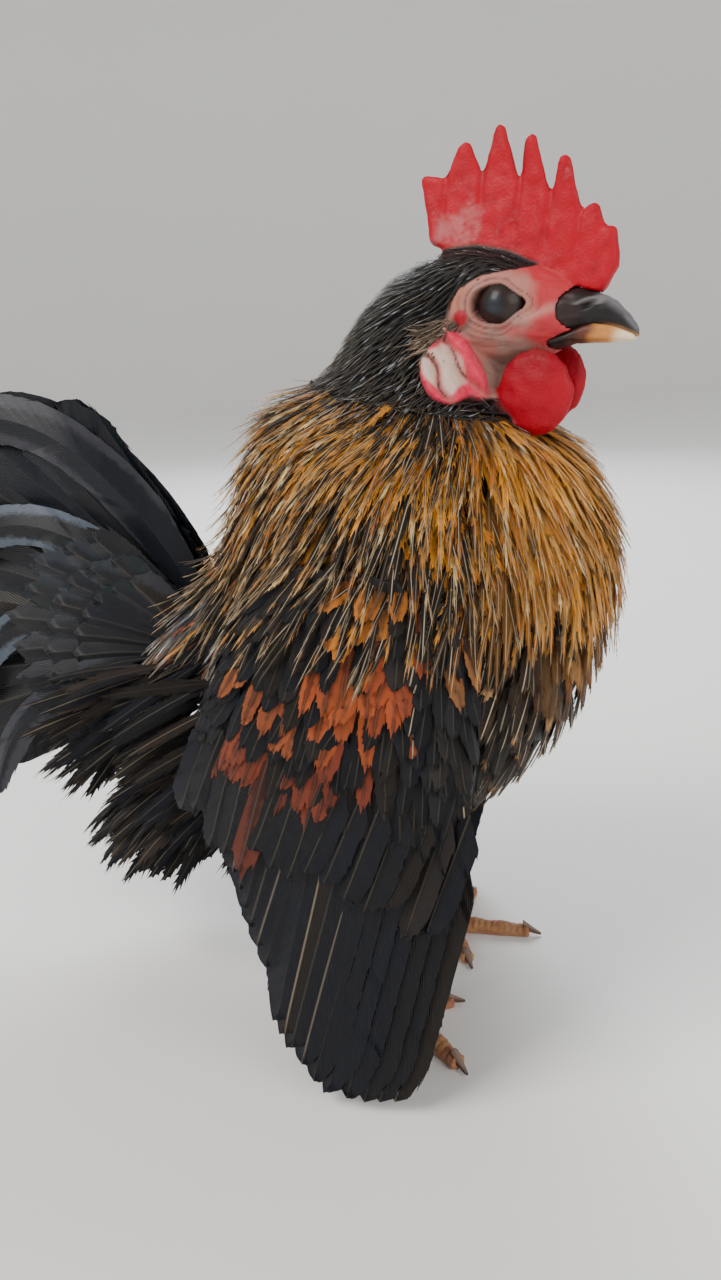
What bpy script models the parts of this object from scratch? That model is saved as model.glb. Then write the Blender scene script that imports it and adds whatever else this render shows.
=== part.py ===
"""A serama rooster standing at rest with drooped wings and a raised tail, at life size.

The bird faces +X with its left side at +Y. Sizes are millimetres until mm() turns them into metres.
While it is drawn, X = 0, Y = 0 lies between the feet on the floor; the last step slides the whole bird
so that the origin is on the floor under the middle of its outline.
"""
import math

import bmesh
import bpy
import numpy as np
from mathutils import Vector

CLEARANCE = 0.45

# How many rings of points each lofted piece has along its length.
RINGS = {
    "trunk": 9,
    "cape": 7,
    "neck": 6,
    "saddle": 6,
    "vent_fluff": 6,
    "skull": 9,
    "beak_upper": 7,
    "beak_lower": 6,
    "wing": 8,
    "sickle": 10,
    "thigh": 6,
    "shank": 6,
    "toe": 7,
}

# Neck, cape and trunk share one row of slanting sections, from the belly up to the back of the skull.
# Each gives back x and z, front x and z, and half the width.
BODY_SECTIONS = (
    (-48, 50, 0, 47, 15),
    (-60, 62, 18, 57, 29),
    (-66, 82, 37, 75, 38),
    (-62, 102, 48, 97, 42),
    (-53, 118, 50.5, 118, 42.5),
    (-46, 134, 48, 132, 40.5),
    (-43.5, 149, 44, 145, 36.5),
    (-34.5, 162.5, 37.5, 153, 30),
    (-22, 168.5, 31, 158, 24),
    (-16, 177, 25, 165, 19.5),
    (-7.5, 187.5, 21, 172, 15.5),
    (2, 193.5, 17, 180, 9),
)
TRUNK_TOP = 4.35
# The breast and belly meet the back on a slanting cut through these two points, x and z.
TRUNK_SPLIT = ((-30, 150), (-12, 30))
TRUNK_SPLIT_GAP = 0.35
BEYOND_TRUNK = 120
CAPE_FOOT = 4.38
CAPE_TOP = 7.6
NECK_FOOT = 7.65
CAPE_FLARE = 1.8
CAPE_FLARE_FADE = 1.5
BODY_SIDES = 20
BODY_FULLNESS = 0.95

# The head turns a little to the bird's right about an upright axis in the neck.
HEAD_PIVOT_X = 8
HEAD_TURN = math.radians(-12)
# Skull sections: distance forward of the pivot, lowest and highest z, half the width.
SKULL_SECTIONS = (
    (-11, 179, 187, 4),
    (-8.5, 175, 191, 8.5),
    (-3, 171.5, 194.5, 11.2),
    (6, 170, 196.3, 12.1),
    (14, 170, 195.4, 11.9),
    (22, 170.6, 192.5, 10.3),
    (28.5, 172, 189.4, 7.6),
    (33.5, 174.4, 186.2, 5),
)
UPPER_BEAK_SECTIONS = (
    (26.5, 174.8, 182.5, 6.6),
    (31, 175.8, 185.7, 6),
    (35.5, 176.8, 185, 4.8),
    (40.3, 177, 183.3, 3.5),
    (44.3, 175.8, 180.2, 2.2),
    (47, 174.4, 176.4, 0.7),
)
LOWER_BEAK_SECTIONS = (
    (28, 172.6, 175.6, 5.2),
    (34.5, 174, 177.2, 4.3),
    (40, 173, 177, 3.3),
    (44, 172.3, 175.4, 2),
    (46.4, 172.5, 174, 0.7),
)
EYE_CENTRE = (18.6, 7.7, 182.7)
EYE_RADII = (5.4, 4.5, 5.4)
EAR_CENTRE = (4.8, 12.2, 179)
EAR_RADII = (4.2, 2.2, 3.2)
LOBE_CENTRE = (9.6, 12.2, 168.8)
LOBE_RADII = (9.2, 2.3, 5.6)
LOBE_TILT = math.radians(56)
WATTLE_CENTRE = (26.6, 8.2, 163.6)
WATTLE_RADII = (8.6, 2.5, 9.6)
LEFT_WATTLE_SHIFT = (-2.6, 0, 2.2)

# Comb outline on the head's middle plane: each tip, then the notch in front of it.
COMB_TIPS = (
    (-4, 212.3),
    (6, 218.5),
    (14.6, 220.9),
    (22, 218),
    (30, 212.9),
    (36.4, 202.6),
    (40.8, 197.6),
)
COMB_NOTCHES = (
    (1.5, 210.8),
    (10.6, 209.6),
    (19.6, 206.6),
    (26.8, 203.6),
    (33.8, 200.4),
    (38.9, 197.4),
)
COMB_TIP_WIDTH = 1.5
# A tip's back and front corners lie this far under its height.
COMB_TIP_DROPS = (0.3, 0.2)
COMB_FRONT = ((42, 189.5), (39, 184.4), (33, 184))
COMB_BACK = ((6, 194.6), (-2.5, 197.5), (-3.2, 204))
COMB_THICKNESS = 3.2
COMB_EDGE = 0.8

# One wing, drawn for the left side. Sections of its shoulder and coverts: back x and z, front x and z,
# distance of the middle from the body's middle plane, half the thickness.
WING_SECTIONS = (
    (-4, 133, 8, 132, 37, 3),
    (-22, 127, 22, 124, 40, 8),
    (-34, 115, 24.5, 110, 43.5, 10),
    (-41, 100, 25.5, 92, 47, 9),
    (-44.5, 88, 24, 76, 50.5, 6.5),
    (-43, 81, 21.5, 63, 52.5, 4),
)
WING_MIDDLE_X = -9
WING_WRAP = 8
WING_WRAP_REACH = 35
QUILL_LINE = ((21.5, 62.4), (-43, 80.4))
LEFT_QUILL_BACK = 10
PRIMARY_TIPS = ((8, 3.6), (0, 3), (-10, 4.6), (-17, 13), (-21, 20))
SECONDARY_TIPS = ((-22.5, 27), (-28.5, 39), (-32, 50), (-37, 60), (-44, 71))
PRIMARY_SPAN = (0, 0.49)
SECONDARY_SPAN = (0.5, 1)
QUILL_OUT = (52.5, 61)
QUILL_THICKNESS = (4, 1.4)
QUILLS = 5
QUILL_SCALLOP = 4.5
QUILL_SCALLOP_MOST = 0.35

# The tail is a steep roof: two fans of main feathers side by side, sickles and coverts outside them.
TAIL_ROOT = (-57, 97)
TAIL_ANGLES = (53, -29)
TAIL_INNER = 14
TAIL_REACH = (82, 98, 106, 104, 94)
TAIL_THICKNESS = (2.6, 1.4)
TAIL_OUT = (2.3, 13)
TAIL_FEATHERS = 6
COVERT_ANGLES = (48, -30)
COVERT_REACH = (46, 56, 60, 58, 50)
COVERT_THICKNESS = (2.6, 1.6)
COVERT_OUT = (18.5, 27)
COVERT_FEATHERS = 5
TAIL_SCALLOP = 6
# Each pair of long curved feathers: its four curve controls in x, z, how far out its ends lie, its width.
SICKLES = {
    "sickle_main": (((-57, 101), (-82, 156), (-140, 199), (-180, 106)), (5.6, 8.6), 14),
    "sickle_second": (((-60, 97), (-94, 138), (-138, 150), (-162, 86)), (8.2, 12.8), 11),
    "sickle_third": (((-60, 91), (-96, 112), (-130, 114), (-146, 62)), (11.4, 15.2), 10),
    "tail_hanger": (((-60, 86), (-92, 92), (-120, 84), (-128, 50)), (14.8, 19.5), 9),
}
SICKLE_THICKNESS = 1.6

# Saddle and under-tail fluff: x, z, half the height and half the width of each section.
SADDLE_SECTIONS = (
    (-40, 112, 26, 33),
    (-54, 105, 23, 33),
    (-66, 95, 21, 29),
    (-78, 84, 18, 22),
    (-88, 75, 9, 10),
)
FLUFF_SECTIONS = (
    (-40, 62, 22, 27),
    (-60, 56, 23, 28),
    (-78, 49, 20, 23),
    (-92, 44, 13, 14),
    (-100, 42, 4, 5),
)
HANGING_LEAN = 0.35
# Leg stations run down the leg: x, distance out from the middle plane, z, radius.
THIGH_SECTIONS = (
    (8, 22, 80, 15),
    (4, 24, 66, 16.5),
    (-3, 23.5, 52, 12.5),
    (-9, 21.6, 42, 7),
    (-11, 21, 37.5, 4.6),
)
SHANK_SECTIONS = ((-11.2, 21, 36.9, 3.6), (-9, 21, 28, 3), (-4.5, 21.2, 16, 3), (-1.2, 21.5, 8.6, 3.6))
SPUR_ROOT = (-7.5, 18.6, 19)
SPUR_TIP = (-11.6, 14.4, 20.6)
SPUR_RADIUS = 1.5
# Share of the way along the spur, and its size there.
SPUR_TAPER = ((0, 1), (0.6, 0.8), (1, 0.3))

# Feet: where the toes meet on the floor, then each toe's bearing in degrees from +X towards the
# bird's own left, its length without the claw and its thickness.
FOOT_CENTRES = {"left": (0.6, 21.8), "right": (-1.6, -22.4)}
TOES = {
    "left": {
        "middle": (9, 24.5, 2.5),
        "inner": (-58, 18.5, 2.3),
        "outer": (84, 22, 2.3),
        "hind": (192, 11.5, 2),
    },
    "right": {
        "middle": (-38, 25.5, 2.5),
        "inner": (34, 15, 2.3),
        "outer": (-106, 20, 2.3),
        "hind": (152, 11.5, 2),
    },
}
TOE_TAPER = 0.22
TOE_KNUCKLES = 0.07
TOE_ARCH = 0.5
TOE_SINK = 0.35
# The ankle and ball of the foot: height, radius, how far it leans forward.
ANKLE_SECTIONS = ((-0.5, 3.2, 0), (3, 4.3, 0), (6, 3.9, 0), (8.2, 3.6, -0.7))
FLOOR_BLOCK = ((-90, -20), (90, -20), (90, 0), (-90, 0))
CLAW_PLACES = (0, 0.35, 0.7, 1)
CLAW_LENGTH = 5.4
CLAW_GAP = 0.4
CLAW_WIDTH = 0.66
CLAW_TAPER = 0.8
CLAW_RISE = 0.45

FLESH_RED = (0.62, 0.03, 0.05)
BLACK_FEATHER = (0.016, 0.017, 0.021)
GOLD_FEATHER = (0.56, 0.27, 0.06)
RUSSET_FEATHER = (0.19, 0.07, 0.03)
LEG_SKIN = (0.42, 0.26, 0.13)
HORN = (0.05, 0.035, 0.03)
CREAM = (0.72, 0.55, 0.47)
EYE_BROWN = (0.03, 0.022, 0.024)

pieces = {}
clearances = {}


def mm(*values):
    """Turns millimetres into a vector in metres."""
    return Vector(values) * 0.001


def clear_scene():
    for item in list(bpy.data.objects):
        bpy.data.objects.remove(item)


def along(rows, place):
    """Reads the smooth curve that runs through rows at a place counted in rows."""
    rows = np.asarray(rows, float)
    last = len(rows) - 1
    start = min(int(place), last - 1)
    t = place - start
    before, here, then, after = (rows[min(max(start + step, 0), last)] for step in (-1, 0, 1, 2))
    rise = then - before
    bend = 2 * before - 5 * here + 4 * then - after
    twist = 3 * here - before - 3 * then + after
    return here + 0.5 * (rise * t + bend * t * t + twist * t**3)


def oval(centre, first, second, sides, fullness=1.0):
    """Points round an oval; a fullness under 1 makes it squarer."""
    points = []
    for step in range(sides):
        angle = 2 * math.pi * (step + 0.5) / sides
        a = math.copysign(abs(math.cos(angle)) ** fullness, math.cos(angle))
        b = math.copysign(abs(math.sin(angle)) ** fullness, math.sin(angle))
        points.append(Vector(centre) + Vector(first) * a + Vector(second) * b)
    return points


def finish_for(name, color, roughness, metallic=0.0):
    material = bpy.data.materials.new(name)
    material.use_nodes = True
    shader = material.node_tree.nodes["Principled BSDF"]
    shader.inputs["Base Color"].default_value = (*color, 1)
    shader.inputs["Roughness"].default_value = roughness
    shader.inputs["Metallic"].default_value = metallic
    return material


def add_piece(name, points, faces, parent, color, roughness=0.5):
    """Makes one named solid from millimetre points, with its faces turned outwards."""
    shape = bmesh.new()
    corners = [shape.verts.new(mm(*point)) for point in points]
    for face in faces:
        shape.faces.new([corners[index] for index in face])
    bmesh.ops.recalc_face_normals(shape, faces=shape.faces)
    mesh = bpy.data.meshes.new(name)
    shape.to_mesh(mesh)
    shape.free()
    mesh.shade_smooth()
    mesh.set_sharp_from_angle(angle=math.radians(50))
    piece = bpy.data.objects.new(name, mesh)
    bpy.context.scene.collection.objects.link(piece)
    piece.parent = parent
    mesh.materials.append(finish_for(name, color, roughness))
    pieces[name] = piece
    return piece


def loft(name, rings, parent, color, roughness=0.5):
    """Joins a row of rings of points into one closed solid."""
    sides = len(rings[0])
    points = [point for ring in rings for point in ring]
    faces = [list(range(sides)), list(range(len(points) - sides, len(points)))]
    for row in range(len(rings) - 1):
        for side in range(sides):
            here = row * sides + side
            beside = row * sides + (side + 1) % sides
            faces.append((here, beside, beside + sides, here + sides))
    return add_piece(name, points, faces, parent, color, roughness)


def ball(name, centre, radii, parent, color, roughness=0.5, tilt=0.0, rows=7, sides=10):
    """An egg-shaped solid, tilted about the bird's sideways axis."""
    first = Vector((math.cos(tilt), 0, -math.sin(tilt)))
    second = Vector((math.sin(tilt), 0, math.cos(tilt)))
    side = Vector((0, 1, 0))
    rings = []
    for row in range(rows):
        angle = math.pi * (row + 0.35) / (rows - 0.3)
        middle = Vector(centre) - first * radii[0] * math.cos(angle)
        width = math.sin(angle)
        rings.append(oval(middle, side * radii[1] * width, second * radii[2] * width, sides))
    return loft(name, rings, parent, color, roughness)


def fan(name, place, depth, feathers, rows, parent, color, roughness=0.35):
    """A closed blade of side-by-side feathers, three columns each, thick along Y."""
    columns = 3 * feathers + 1
    points = []
    for half in (0.5, -0.5):
        for column in range(columns):
            for row in range(rows + 1):
                u = row / rows
                point = Vector(place(u, column / (columns - 1), (column / 3) % 1))
                point.y += half * depth(u)
                points.append(point)
    back = columns * (rows + 1)
    faces = []
    for column in range(columns - 1):
        for row in range(rows):
            a = column * (rows + 1) + row
            b = a + rows + 1
            faces.append((a, b, b + 1, a + 1))
            faces.append((back + a, back + a + 1, back + b + 1, back + b))
    edge = [column * (rows + 1) for column in range(columns)]
    edge += [(columns - 1) * (rows + 1) + row for row in range(1, rows + 1)]
    edge += [column * (rows + 1) + rows for column in range(columns - 2, -1, -1)]
    edge += list(range(rows - 1, 0, -1))
    for here, then in zip(edge, edge[1:] + edge[:1]):
        faces.append((here, then, back + then, back + here))
    return add_piece(name, points, faces, parent, color, roughness)


def clearance_of(name):
    """A hidden copy of a piece, swollen by the clearance, that cuts room for it in its neighbours."""
    if name not in clearances:
        cutter = bpy.data.objects[name].copy()
        cutter.data = cutter.data.copy()
        cutter.name = name + "_room"
        cutter.modifiers.clear()
        for vertex, normal in zip(cutter.data.vertices, [v.normal.copy() for v in cutter.data.vertices]):
            vertex.co += normal * CLEARANCE * 0.001
        bpy.context.scene.collection.objects.link(cutter)
        cutter.hide_render = True
        cutter.display_type = "WIRE"
        clearances[name] = cutter
    return clearances[name]


def make_room(name, *neighbours):
    """Cuts the neighbours' room out of a piece."""
    for neighbour in neighbours:
        cut = pieces[name].modifiers.new("room_for_" + neighbour, "BOOLEAN")
        cut.operation = "DIFFERENCE"
        cut.solver = "EXACT"
        cut.object = clearance_of(neighbour)


def mirrored(side, point):
    """A left-side point, or its mirror image on the right."""
    x, y, z = point
    return (x, y if side == "left" else -y, z)


def sections_along(name, sections):
    """The sections of a lofted piece, read at even places from first to last."""
    return [along(sections, place) for place in np.linspace(0, len(sections) - 1, RINGS[name])]


def body_ring(place, flare=0.0):
    back_x, back_z, front_x, front_z, width = along(BODY_SECTIONS, place)
    middle = ((back_x + front_x) / 2, 0, (back_z + front_z) / 2)
    reach = Vector(((front_x - back_x) / 2, 0, (front_z - back_z) / 2))
    reach = reach * (1 + flare / reach.length)
    return oval(middle, reach, (0, width + flare, 0), BODY_SIDES, BODY_FULLNESS)


def add_trunk(root):
    """The trunk in two solids, either side of a slanting cut."""
    rings = [body_ring(place) for place in np.linspace(0, TRUNK_TOP, RINGS["trunk"])]
    helper("trunk_form", rings, root)
    (top_x, top_z), (low_x, low_z) = TRUNK_SPLIT
    for name, color, away in (("trunk_breast", GOLD_FEATHER, -1), ("trunk_back", BLACK_FEATHER, 1)):
        loft(name, rings, root, color, 0.55)
        edge = away * TRUNK_SPLIT_GAP / 2
        far = away * BEYOND_TRUNK
        outline = ((top_x - edge, top_z), (low_x - edge, low_z), (low_x + far, low_z), (top_x + far, top_z))
        block = block_of(name + "_away", outline, root)
        cut = pieces[name].modifiers.new("slanting_cut", "BOOLEAN")
        cut.operation = "DIFFERENCE"
        cut.solver = "EXACT"
        cut.object = block


def add_body(root):
    add_trunk(root)
    cape = [
        body_ring(place, CAPE_FLARE * max(0, 1 - (place - CAPE_FOOT) / CAPE_FLARE_FADE))
        for place in np.linspace(CAPE_FOOT, CAPE_TOP, RINGS["cape"])
    ]
    loft("cape", cape, root, GOLD_FEATHER, 0.55)
    neck = [body_ring(place) for place in np.linspace(NECK_FOOT, len(BODY_SECTIONS) - 1, RINGS["neck"])]
    loft("neck", neck, root, BLACK_FEATHER, 0.4)


def hanging_ring(section, sides):
    """A section that stands square to a path sloping back and down."""
    x, z, height, width = section
    return oval((x, 0, z), Vector((HANGING_LEAN, 0, 1)).normalized() * height, (0, width, 0), sides)


def add_saddle_and_fluff(root):
    for name, sections, color in (
        ("saddle", SADDLE_SECTIONS, RUSSET_FEATHER),
        ("vent_fluff", FLUFF_SECTIONS, BLACK_FEATHER),
    ):
        rings = [hanging_ring(section, 18) for section in sections_along(name, sections)]
        loft(name, rings, root, color, 0.6)
    make_room("saddle", "trunk_form", "cape")
    make_room("vent_fluff", "trunk_form", "saddle", "thigh_left", "thigh_right")


def skull_ring(section, sides, fullness=1.0):
    forward, low, high, width = section
    return oval((forward, 0, (low + high) / 2), (0, width, 0), (0, 0, (high - low) / 2), sides, fullness)


def add_head(head):
    skull = [skull_ring(section, 16) for section in sections_along("skull", SKULL_SECTIONS)]
    loft("head", skull, head, FLESH_RED, 0.6)
    upper = [skull_ring(section, 12, 0.85) for section in sections_along("beak_upper", UPPER_BEAK_SECTIONS)]
    loft("beak_upper", upper, head, HORN, 0.35)
    lower = [skull_ring(section, 12, 0.9) for section in sections_along("beak_lower", LOWER_BEAK_SECTIONS)]
    loft("beak_lower", lower, head, CREAM, 0.4)
    for side in ("left", "right"):
        ball("eye_" + side, mirrored(side, EYE_CENTRE), EYE_RADII, head, EYE_BROWN, 0.1)
        ball("ear_" + side, mirrored(side, EAR_CENTRE), EAR_RADII, head, CREAM, 0.8, rows=6, sides=8)
        ball("earlobe_" + side, mirrored(side, LOBE_CENTRE), LOBE_RADII, head, CREAM, 0.5, LOBE_TILT)
        wattle = Vector(mirrored(side, WATTLE_CENTRE))
        if side == "left":
            wattle += Vector(LEFT_WATTLE_SHIFT)
        ball("wattle_" + side, wattle, WATTLE_RADII, head, FLESH_RED, 0.5)
        make_room("head", "eye_" + side)
        make_room("ear_" + side, "head")
        make_room("earlobe_" + side, "head", "wattle_" + side, "ear_" + side)
        make_room("wattle_" + side, "head", "beak_lower")
        make_room("neck", "ear_" + side, "earlobe_" + side, "wattle_" + side)
        make_room("cape", "wattle_" + side, "earlobe_" + side)
    make_room("neck", "head")
    make_room("beak_lower", "beak_upper")
    make_room("head", "beak_upper", "beak_lower")


def add_comb(head):
    """A flat plate with seven fingers, cut to the skull and the beak and softened along its edge."""
    outline = []
    for index, (tip_x, tip_z) in enumerate(COMB_TIPS):
        outline.append((tip_x - COMB_TIP_WIDTH / 2, tip_z - COMB_TIP_DROPS[0]))
        outline.append((tip_x + COMB_TIP_WIDTH / 2, tip_z - COMB_TIP_DROPS[1]))
        if index < len(COMB_NOTCHES):
            outline.append(COMB_NOTCHES[index])
    outline += list(COMB_FRONT) + list(COMB_BACK)
    count = len(outline)
    points = [(x, side * COMB_THICKNESS / 2, z) for side in (1, -1) for x, z in outline]
    faces = [list(range(count)), list(range(2 * count - 1, count - 1, -1))]
    faces += [(i, (i + 1) % count, count + (i + 1) % count, count + i) for i in range(count)]
    comb = add_piece("comb", points, faces, head, FLESH_RED, 0.5)
    soft = comb.modifiers.new("soft_edge", "BEVEL")
    soft.width = COMB_EDGE * 0.001
    soft.segments = 1
    make_room("comb", "head", "beak_upper")


def wing_wrap(x):
    """How far the wing curls in towards the body, ahead of and behind its middle."""
    return WING_WRAP * ((x - WING_MIDDLE_X) / WING_WRAP_REACH) ** 2


def wing_ring(section, side):
    back_x, back_z, front_x, front_z, out, thick = section
    middle = ((back_x + front_x) / 2, out, (back_z + front_z) / 2)
    reach = ((front_x - back_x) / 2, 0, (front_z - back_z) / 2)
    points = oval(middle, reach, (0, thick, 0), 14, 0.85)
    return [mirrored(side, (p.x, p.y - wing_wrap(p.x), p.z)) for p in points]


def quill_place(side, span, tips):
    """Places a point of a flight-feather blade: u runs down the feather and v across the row."""
    root_line = np.array(QUILL_LINE)

    def place(u, v, across):
        root = root_line[0] + (root_line[1] - root_line[0]) * (span[0] + (span[1] - span[0]) * v)
        tip = along(tips, v * (len(tips) - 1))
        length = math.dist(root, tip)
        u *= 1 - min(QUILL_SCALLOP_MOST, QUILL_SCALLOP / length) * (2 * across - 1) ** 2
        x, z = root + (tip - root) * u
        drop = (QUILL_LINE[0][1] - z) / QUILL_LINE[0][1]
        out = QUILL_OUT[0] + (QUILL_OUT[1] - QUILL_OUT[0]) * max(0, drop) - wing_wrap(x)
        if side == "left":
            x -= LEFT_QUILL_BACK * max(0, drop)
        return mirrored(side, (x, out, z))

    return place


def blend_of(pair):
    return lambda u: pair[0] + (pair[1] - pair[0]) * u


def add_wing(side, root):
    rings = [wing_ring(section, side) for section in sections_along("wing", WING_SECTIONS)]
    loft("wing_coverts_" + side, rings, root, RUSSET_FEATHER, 0.5)
    make_room("wing_coverts_" + side, "trunk_form", "cape")
    depth = blend_of(QUILL_THICKNESS)
    for name, span, tips in (
        ("primaries_", PRIMARY_SPAN, PRIMARY_TIPS),
        ("secondaries_", SECONDARY_SPAN, SECONDARY_TIPS),
    ):
        fan(name + side, quill_place(side, span, tips), depth, QUILLS, 3, root, BLACK_FEATHER)


def tail_place(side, angles, inner, reaches, out):
    def place(u, v, across):
        reach = along(reaches, v * (len(reaches) - 1))[0]
        u_here = u * (1 - TAIL_SCALLOP / reach * (2 * across - 1) ** 2)
        distance = inner + (reach - inner) * u_here
        angle = math.radians(angles[0] + (angles[1] - angles[0]) * v)
        x = TAIL_ROOT[0] - distance * math.cos(angle)
        z = TAIL_ROOT[1] + distance * math.sin(angle)
        return mirrored(side, (x, out[0] + (out[1] - out[0]) * v * u_here, z))

    return place


def bezier(controls, t):
    a, b, c, d = (np.array(control, float) for control in controls)
    s = 1 - t
    point = a * s**3 + 3 * b * s * s * t + 3 * c * s * t * t + d * t**3
    slope = 3 * ((b - a) * s * s + 2 * (c - b) * s * t + (d - c) * t * t)
    return point, slope / np.linalg.norm(slope)


def add_sickle(name, side, root, controls, out, width):
    """One long curved feather: a thin lens in section that follows the curve to a round tip."""
    rings = []
    for t in np.linspace(0.04, 1, RINGS["sickle"]):
        (x, z), (run_x, run_z) = bezier(controls, t)
        half = width / 2 * min(1, 0.35 + 1.6 * t) * math.sqrt(max(0.02, 1 - t**5))
        edge = (-run_z * half, 0, run_x * half)
        middle = mirrored(side, (x, out[0] + (out[1] - out[0]) * t, z))
        rings.append(oval(middle, edge, (0, SICKLE_THICKNESS / 2, 0), 6))
    loft(name + "_" + side, rings, root, BLACK_FEATHER, 0.3)


def add_tail(side, root):
    reaches = [(reach,) for reach in TAIL_REACH]
    place = tail_place(side, TAIL_ANGLES, TAIL_INNER, reaches, TAIL_OUT)
    fan("tail_feathers_" + side, place, blend_of(TAIL_THICKNESS), TAIL_FEATHERS, 3, root, BLACK_FEATHER)
    reaches = [(reach,) for reach in COVERT_REACH]
    place = tail_place(side, COVERT_ANGLES, TAIL_INNER, reaches, COVERT_OUT)
    fan("tail_coverts_" + side, place, blend_of(COVERT_THICKNESS), COVERT_FEATHERS, 2, root, BLACK_FEATHER)
    names = ["tail_feathers_" + side, "tail_coverts_" + side]
    for name, (controls, out, width) in SICKLES.items():
        add_sickle(name, side, root, controls, out, width)
        names.append(name + "_" + side)
    for name in names:
        make_room(name, "trunk_form", "saddle")


def leg_ring(section, side, sides):
    x, out, z, radius = section
    return oval(mirrored(side, (x, out, z)), (radius, 0, 0), (0, radius, 0), sides)


def add_leg(side, root):
    thigh = [leg_ring(section, side, 10) for section in sections_along("thigh", THIGH_SECTIONS)]
    loft("thigh_" + side, thigh, root, BLACK_FEATHER, 0.6)
    make_room("thigh_" + side, "trunk_form")
    shank = [leg_ring(section, side, 8) for section in sections_along("shank", SHANK_SECTIONS)]
    loft("shank_" + side, shank, root, LEG_SKIN, 0.6)
    start, tip = (Vector(mirrored(side, point)) for point in (SPUR_ROOT, SPUR_TIP))
    run = (tip - start).normalized()
    flat = run.cross(Vector((0, 0, 1))).normalized()
    rings = [
        oval(start.lerp(tip, t), flat * SPUR_RADIUS * size, run.cross(flat) * SPUR_RADIUS * size, 6)
        for t, size in SPUR_TAPER
    ]
    helper("spur_" + side, rings, root)
    join_to("shank_" + side, "spur_" + side)


def helper(name, rings, root):
    """A hidden solid that is joined to a visible one."""
    piece = loft(name, rings, root, LEG_SKIN)
    piece.hide_render = True
    piece.display_type = "WIRE"
    return pieces.pop(name)


def block_of(name, outline, root, half_width=100):
    """A hidden four-sided block, drawn by its x and z outline and wide along Y."""
    corners = [(x, y, z) for y in (-half_width, half_width) for x, z in outline]
    faces = ((0, 1, 2, 3), (7, 6, 5, 4), (0, 4, 5, 1), (1, 5, 6, 2), (2, 6, 7, 3), (3, 7, 4, 0))
    block = add_piece(name, corners, faces, root, LEG_SKIN)
    block.hide_render = True
    block.display_type = "WIRE"
    return pieces.pop(name)


def join_to(name, helper_name):
    join = pieces[name].modifiers.new("join_" + helper_name, "BOOLEAN")
    join.operation = "UNION"
    join.solver = "EXACT"
    join.object = bpy.data.objects[helper_name]


def toe_rings(centre, bearing, length, thick):
    """A toe with three swollen joints, its pads pressed a little into the floor."""
    run = Vector((math.cos(bearing), math.sin(bearing), 0))
    across = Vector((-run.y, run.x, 0))
    rings = []
    for t in np.linspace(0, 1, RINGS["toe"]):
        size = thick * (1 - TOE_TAPER * t) * (1 + TOE_KNUCKLES * math.cos(6 * math.pi * t))
        middle = centre + run * length * t
        middle.z = size - TOE_SINK + TOE_ARCH * (1 - t) ** 2
        rings.append(oval(middle, across * size * 1.1, (0, 0, size), 6))
    return rings


def add_claw(name, centre, bearing, length, thick, root):
    run = Vector((math.cos(bearing), math.sin(bearing), 0))
    across = Vector((-run.y, run.x, 0))
    toe_end = thick * 0.8
    rings = []
    for t in CLAW_PLACES:
        size = thick * CLAW_WIDTH * (1 - CLAW_TAPER * t)
        middle = centre + run * (length + CLAW_GAP + CLAW_LENGTH * t)
        middle.z = CLAW_RISE + size + (toe_end - 0.6) * (1 - t) ** 1.4
        rings.append(oval(middle, across * size * 0.8, (0, 0, size), 6))
    loft(name, rings, root, HORN, 0.35)


def add_foot(side, root, floor):
    centre = Vector((*FOOT_CENTRES[side], 0))
    for toe, (bearing, length, thick) in TOES[side].items():
        bearing = math.radians(bearing)
        rings = toe_rings(centre, bearing, length, thick)
        if toe == "middle":
            loft("foot_" + side, rings, root, LEG_SKIN, 0.6)
        else:
            helper("toe_" + toe + "_" + side, rings, root)
            join_to("foot_" + side, "toe_" + toe + "_" + side)
        add_claw("claw_" + toe + "_" + side, centre, bearing, length, thick, root)
    ankle = [
        oval(centre + Vector((lean, 0, height)), (size, 0, 0), (0, size, 0), 8)
        for height, size, lean in ANKLE_SECTIONS
    ]
    helper("ankle_" + side, ankle, root)
    join_to("foot_" + side, "ankle_" + side)
    level = pieces["foot_" + side].modifiers.new("flat_soles", "BOOLEAN")
    level.operation = "DIFFERENCE"
    level.solver = "EXACT"
    level.object = floor


def centre_on_floor(root):
    """Slides the bird so that the middle of its outline stands over the origin."""
    bpy.context.view_layer.update()
    graph = bpy.context.evaluated_depsgraph_get()
    corners = []
    for piece in pieces.values():
        solid = piece.evaluated_get(graph)
        corners += [solid.matrix_world @ vertex.co for vertex in solid.data.vertices]
    spread = np.array(corners)
    middle = (spread.min(axis=0) + spread.max(axis=0)) / 2
    root.location = (-middle[0], -middle[1], 0)


def empty(name, location=(0, 0, 0), parent=None):
    holder = bpy.data.objects.new(name, None)
    bpy.context.scene.collection.objects.link(holder)
    holder.location = location
    holder.parent = parent
    return holder


clear_scene()
bird = empty("bird")
skull_turn = empty("head_turn", mm(HEAD_PIVOT_X, 0, 0), bird)
skull_turn.rotation_euler.z = HEAD_TURN
floor_cutter = block_of("floor_level", FLOOR_BLOCK, bird)
add_body(bird)
add_head(skull_turn)
add_comb(skull_turn)
for wing_side in ("left", "right"):
    add_leg(wing_side, bird)
    add_foot(wing_side, bird, floor_cutter)
    add_wing(wing_side, bird)
add_saddle_and_fluff(bird)
for tail_side in ("left", "right"):
    add_tail(tail_side, bird)
centre_on_floor(bird)
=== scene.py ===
"""A small serama rooster standing at rest, at life size, with its skin, horn and every feather.

Lengths are millimetres, which MM turns into metres, in the bird's own frame: X forward, Y to its left, Z up.
The head is drawn in a frame of its own: forward of the upright line it turns about, to its left, and up.
"""
import math

import bmesh
import bpy
import numpy as np
from mathutils import Euler, Matrix, Vector
from mathutils.bvhtree import BVHTree


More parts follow.
